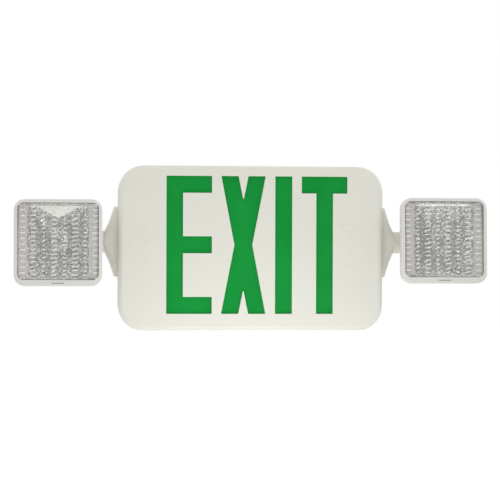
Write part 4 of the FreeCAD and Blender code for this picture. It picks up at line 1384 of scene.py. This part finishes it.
    def paint_facet_reflections(self, piece: bpy.types.Object, chance: random.Random, mouth: float, top: float) -> None:
        """Write each facet's painted reflection: how bright a part of the room it catches.

        Args:
            piece: the reflector.
            chance: source of the variation.
            mouth: depth of the dish's mouth.
            top: height of the dish's upper edge, where facets get a painted highlight of the lights overhead.
        """
        back = self.placement().inverted()
        row = self.dish_h / self.facet_rows
        tones, calm = [], []
        for face in piece.data.polygons:
            centre = back @ face.center
            calm.append(float(centre.y - mouth < self.facet_start))
            # facets on the top row get a painted highlight from the lights overhead; the rest a random
            # painted reflection
            lit = top - centre.z < row
            tones.append(chance.uniform(self.overhead_highlight_tone, 1.0) if lit else chance.betavariate(*self.reflection_tone_spread))
        self.write(piece, "FACE", {"tone": tones, "calm": calm})


# ---------------------------------------------------------------- the whole light
@dataclass(frozen=True)
class CoilSpring:
    """Compression spring of the test button."""

    wire_r: float = 0.35 * MM
    turns: int = 5
    turn_steps: int = 28
    wire_sides: int = 10

    def build(self, material: bpy.types.Material) -> bpy.types.Object:
        """Coil the wire between the button's flange and the shelf.

        Args:
            material: its finish.

        Returns:
            The spring.
        """
        low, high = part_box("button_spring")
        radius = (high.x - low.x) / 2 - self.wire_r
        middle = (low + high) / 2
        start = Vector((middle.x, middle.y, low.z + self.wire_r))
        rise = Vector((0.0, 0.0, high.z - low.z - 2 * self.wire_r))
        job = MeshJob("button_coil_spring")
        steps = self.turns * self.turn_steps
        rings = []
        for i in range(steps + 1):
            around = 2 * math.pi * i / self.turn_steps
            out = Vector((math.cos(around), math.sin(around), 0.0))
            centre = start + out * radius + rise * (i / steps)
            corners = [2 * math.pi * j / self.wire_sides for j in range(self.wire_sides)]
            rings.append([job.bm.verts.new(centre + (out * math.cos(a) + Z_UP * math.sin(a)) * self.wire_r)
                          for a in corners])
        job.chain(rings)
        job.bm.faces.new(rings[0])
        job.bm.faces.new(rings[-1])
        piece = job.publish("housing", material)
        piece.parent = None
        piece.matrix_world = Matrix.Identity(4)
        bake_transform(piece)
        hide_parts("button_spring")
        return piece


@dataclass
class SignBox:
    """The sign box: its stencilled cover, and the finish of everything in and on the housing."""

    effects: Effects
    face: StencilFace = field(default_factory=StencilFace)
    spring: CoilSpring = field(default_factory=CoilSpring)

    def build(self) -> list[bpy.types.Object]:
        """Build the cover and dress the pieces that come from the frame.

        Returns:
            The pieces that were built.
        """
        cover = Moulded("cover moulding", (0.705, 0.70, 0.635), (0.68, 0.67, 0.60), wear=0.25)
        zinc = Plated("zinc plating", (0.62, 0.62, 0.60), (0.50, 0.52, 0.54))
        finishes = (
            (Moulded("housing moulding", (0.70, 0.69, 0.625), (0.66, 0.645, 0.575)),
             "back_housing", "test_button"),
            (LegendFilm("legend panel", (0.008, 0.283, 0.043), (0.005, 0.245, 0.034)), "legend_lens"),
            (Moulded("light box white", (0.86, 0.86, 0.84), (0.80, 0.80, 0.77), dust=0.1), "light_box"),
            (CircuitLaminate("board laminate", (0.015, 0.13, 0.05), (0.06, 0.24, 0.09)),
             "upper_led_board", "lower_led_board", "circuit_board"),
            (Moulded("LED package", (0.86, 0.78, 0.38), (0.88, 0.84, 0.62), roughness=0.3, grain_scale=5000.0,
                     dust=0.0), "sign_leds"),
            (Banded("varnished laminations", (0.10, 0.09, 0.085), (0.20, 0.19, 0.18), "Z", 1.0 * MM,
                    metallic=0.6), "transformer"),
            (Moulded("relay case", (0.03, 0.07, 0.26), (0.02, 0.05, 0.20), (0.3, 0.35, 0.5), roughness=0.3,
                     dust=0.3), "relay"),
            (Banded("capacitor sleeve", (0.03, 0.035, 0.07), (0.55, 0.56, 0.60), "X", 12.4 * MM, 0.12,
                    roughness=0.25), "capacitors"),
            (Moulded("natural nylon", (0.70, 0.68, 0.60), (0.60, 0.58, 0.50), roughness=0.55),
             "terminal_block"),
            (Banded("cell sleeve", (0.03, 0.20, 0.13), (0.05, 0.30, 0.20), "Z", 21.5 * MM, 0.06,
                    roughness=0.22), "battery_cells"),
            (Moulded("switch body", (0.03, 0.03, 0.032), (0.05, 0.05, 0.05), (0.2, 0.2, 0.2), roughness=0.5),
             "test_switch"),
            (Moulded("pilot red", (0.50, 0.012, 0.010), (0.42, 0.010, 0.010), (0.7, 0.2, 0.2), roughness=0.15,
                     grain_depth=0.01 * MM, coat=0.6), "pilot_light"),
        )
        for finish, *nodes in finishes:
            dress(finish, self.effects, nodes)
        steel = dress(zinc, self.effects, ("light_box_screws", "board_screws", "battery_strap"))
        return [self.face.build(cover.build(self.effects)), self.spring.build(steel)]


@dataclass
class Lamps:
    """Both lamps: their optics, and the finish of the pieces that come from the frame."""

    effects: Effects

    def build(self) -> list[bpy.types.Object]:
        """Build the optics of each side and dress the other pieces.

        Returns:
            The pieces that were built.
        """
        finishes = (
            (Moulded("swivel moulding", (0.70, 0.685, 0.615), (0.67, 0.65, 0.58)), "collar", "stem", "nut"),
            (Moulded("lamp moulding", (0.66, 0.655, 0.62), (0.63, 0.62, 0.58)), "head_shell", "bezel"),
            (Plated("washer steel", (0.60, 0.60, 0.58), (0.48, 0.49, 0.50), 0.28),
             "collar_screws", "washer", "pivot_pin"),
            (CircuitLaminate("lamp board", (0.34, 0.34, 0.33), (0.20, 0.19, 0.16), 3.0 * MM), "lamp_board"),
            (Moulded("lamp LED", (0.20, 0.20, 0.18), (0.58, 0.57, 0.50), roughness=0.15, dust=0.0, coat=0.8),
             "lamp_led"),
        )
        for finish, *nodes in finishes:
            dress(finish, self.effects, [f"{side.value}_{node}" for side in Side for node in nodes])
        flap = Moulded("flap white", (0.90, 0.90, 0.83), (0.84, 0.84, 0.76), dust=0.0, wear=0.1)
        dress(flap, self.effects, ("left_glare_flap",))
        clear = ClearLens("clear prisms").build(self.effects)
        silver = SilveredFacets("silvered facets").build(self.effects)
        return [piece for side in Side for piece in LampHead(side).build(clear, silver)]


# ---------------------------------------------------------------- studio
@dataclass
class Studio:
    """Pale floor, soft light and the camera."""

    floor_drop: float = 0.36
    floor_half: float = 6.0
    distance: float = 2.00
    azimuth: float = -5.0
    roll: float = 0.20
    view_width: float = 0.55205
    aim_x: float = -0.0015
    aim_z: float = -0.0017
    sky: float = 0.885
    floor_glow: float = 0.6
    sensor: float = 36.0

    def build(self) -> None:
        """Set up the floor, the lights, the world and the camera."""
        self.lay_floor()
        self.hang_lights()
        self.set_world()
        self.place_camera()
        bpy.context.scene.view_settings.view_transform = "Standard"

    def lay_floor(self) -> None:
        """Lay the pale floor, which keeps the shadow and reads as white paper."""
        mesh = bpy.data.meshes.new("floor")
        h, z = self.floor_half, -self.floor_drop
        mesh.from_pydata([(-h, -h, z), (h, -h, z), (h, h, z), (-h, h, z)], [], [(0, 1, 2, 3)])
        floor = bpy.data.objects.new("floor", mesh)
        bpy.context.scene.collection.objects.link(floor)
        material = bpy.data.materials.new("floor paper")
        material.use_nodes = True
        sheet = Sheet(material.node_tree)
        shader = material.node_tree.nodes["Principled BSDF"]
        tone = sheet.spread(sheet.noise(3.0), 0.82, 0.86)
        sheet.join(shader, Base_Color=sheet.mix(tone, BLACK, WHITE), Roughness=0.9, Specular_IOR_Level=0.1,
                   Emission_Color=WHITE, Emission_Strength=sheet.times(sheet.seen(), self.floor_glow))
        mesh.materials.append(material)
        floor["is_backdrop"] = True

    def hang_lights(self) -> None:
        """Hang a light off each end, a softbox overhead and a low strip in front."""
        self.area("left light", (-1.7, -0.35, 0.8), 0.7, 3.0)
        self.area("right light", (1.7, -0.35, 0.8), 0.7, 4.0)
        self.area("top light", (0.0, -0.20, 1.5), 1.2, 2.6)
        self.area("low strip", (0.0, -0.24, -0.24), 0.20, 0.29)

    def area(self, name: str, place: tuple[float, float, float], size: float, power: float) -> None:
        """Hang a square area light that faces the sign.

        Args:
            name: its name.
            place: where it hangs, in metres.
            size: its side, in metres.
            power: in watts.
        """
        lamp = bpy.data.lights.new(name, "AREA")
        lamp.size = size
        lamp.energy = power
        holder = bpy.data.objects.new(name, lamp)
        holder.location = place
        holder.rotation_euler = (-Vector(place)).to_track_quat("-Z", "Y").to_euler()
        bpy.context.scene.collection.objects.link(holder)

    def set_world(self) -> None:
        """Surround the scene with even light that is seen as white."""
        world = bpy.data.worlds.new("studio air")
        world.use_nodes = True
        bpy.context.scene.world = world
        sheet = Sheet(world.node_tree)
        back = world.node_tree.nodes["Background"]
        sheet.join(back, Color=WHITE, Strength=sheet.choose(sheet.seen(), self.sky, 1.0))

    def place_camera(self) -> None:
        """Place the camera nearly square to the face."""
        low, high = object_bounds()
        face = Vector(((low[0] + high[0]) / 2 + self.aim_x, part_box("front_cover")[0].y, self.aim_z))
        turn = math.radians(self.azimuth)
        place = face + self.distance * Vector((math.sin(turn), -math.cos(turn), 0.0))
        data = bpy.data.cameras.new("camera")
        data.sensor_width = self.sensor
        data.lens = self.sensor * self.distance / self.view_width
        camera = bpy.data.objects.new("camera", data)
        look = (face - place).to_track_quat("-Z", "Y").to_matrix().to_4x4()
        roll = Matrix.Rotation(math.radians(self.roll), 4, "Z")
        camera.matrix_world = Matrix.Translation(place) @ look @ roll
        bpy.context.scene.collection.objects.link(camera)
        bpy.context.scene.camera = camera


def main() -> None:
    """Build the light, its finishes and the studio."""
    logging.basicConfig(level=logging.INFO, format="%(name)s: %(message)s")
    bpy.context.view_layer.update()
    Studio().build()
    effects = Effects()
    pieces = SignBox(effects).build() + Lamps(effects).build()
    for piece in pieces:
        log.info("%s: %d faces", piece.name, len(piece.data.polygons))


if __name__ == "__main__":
    main()
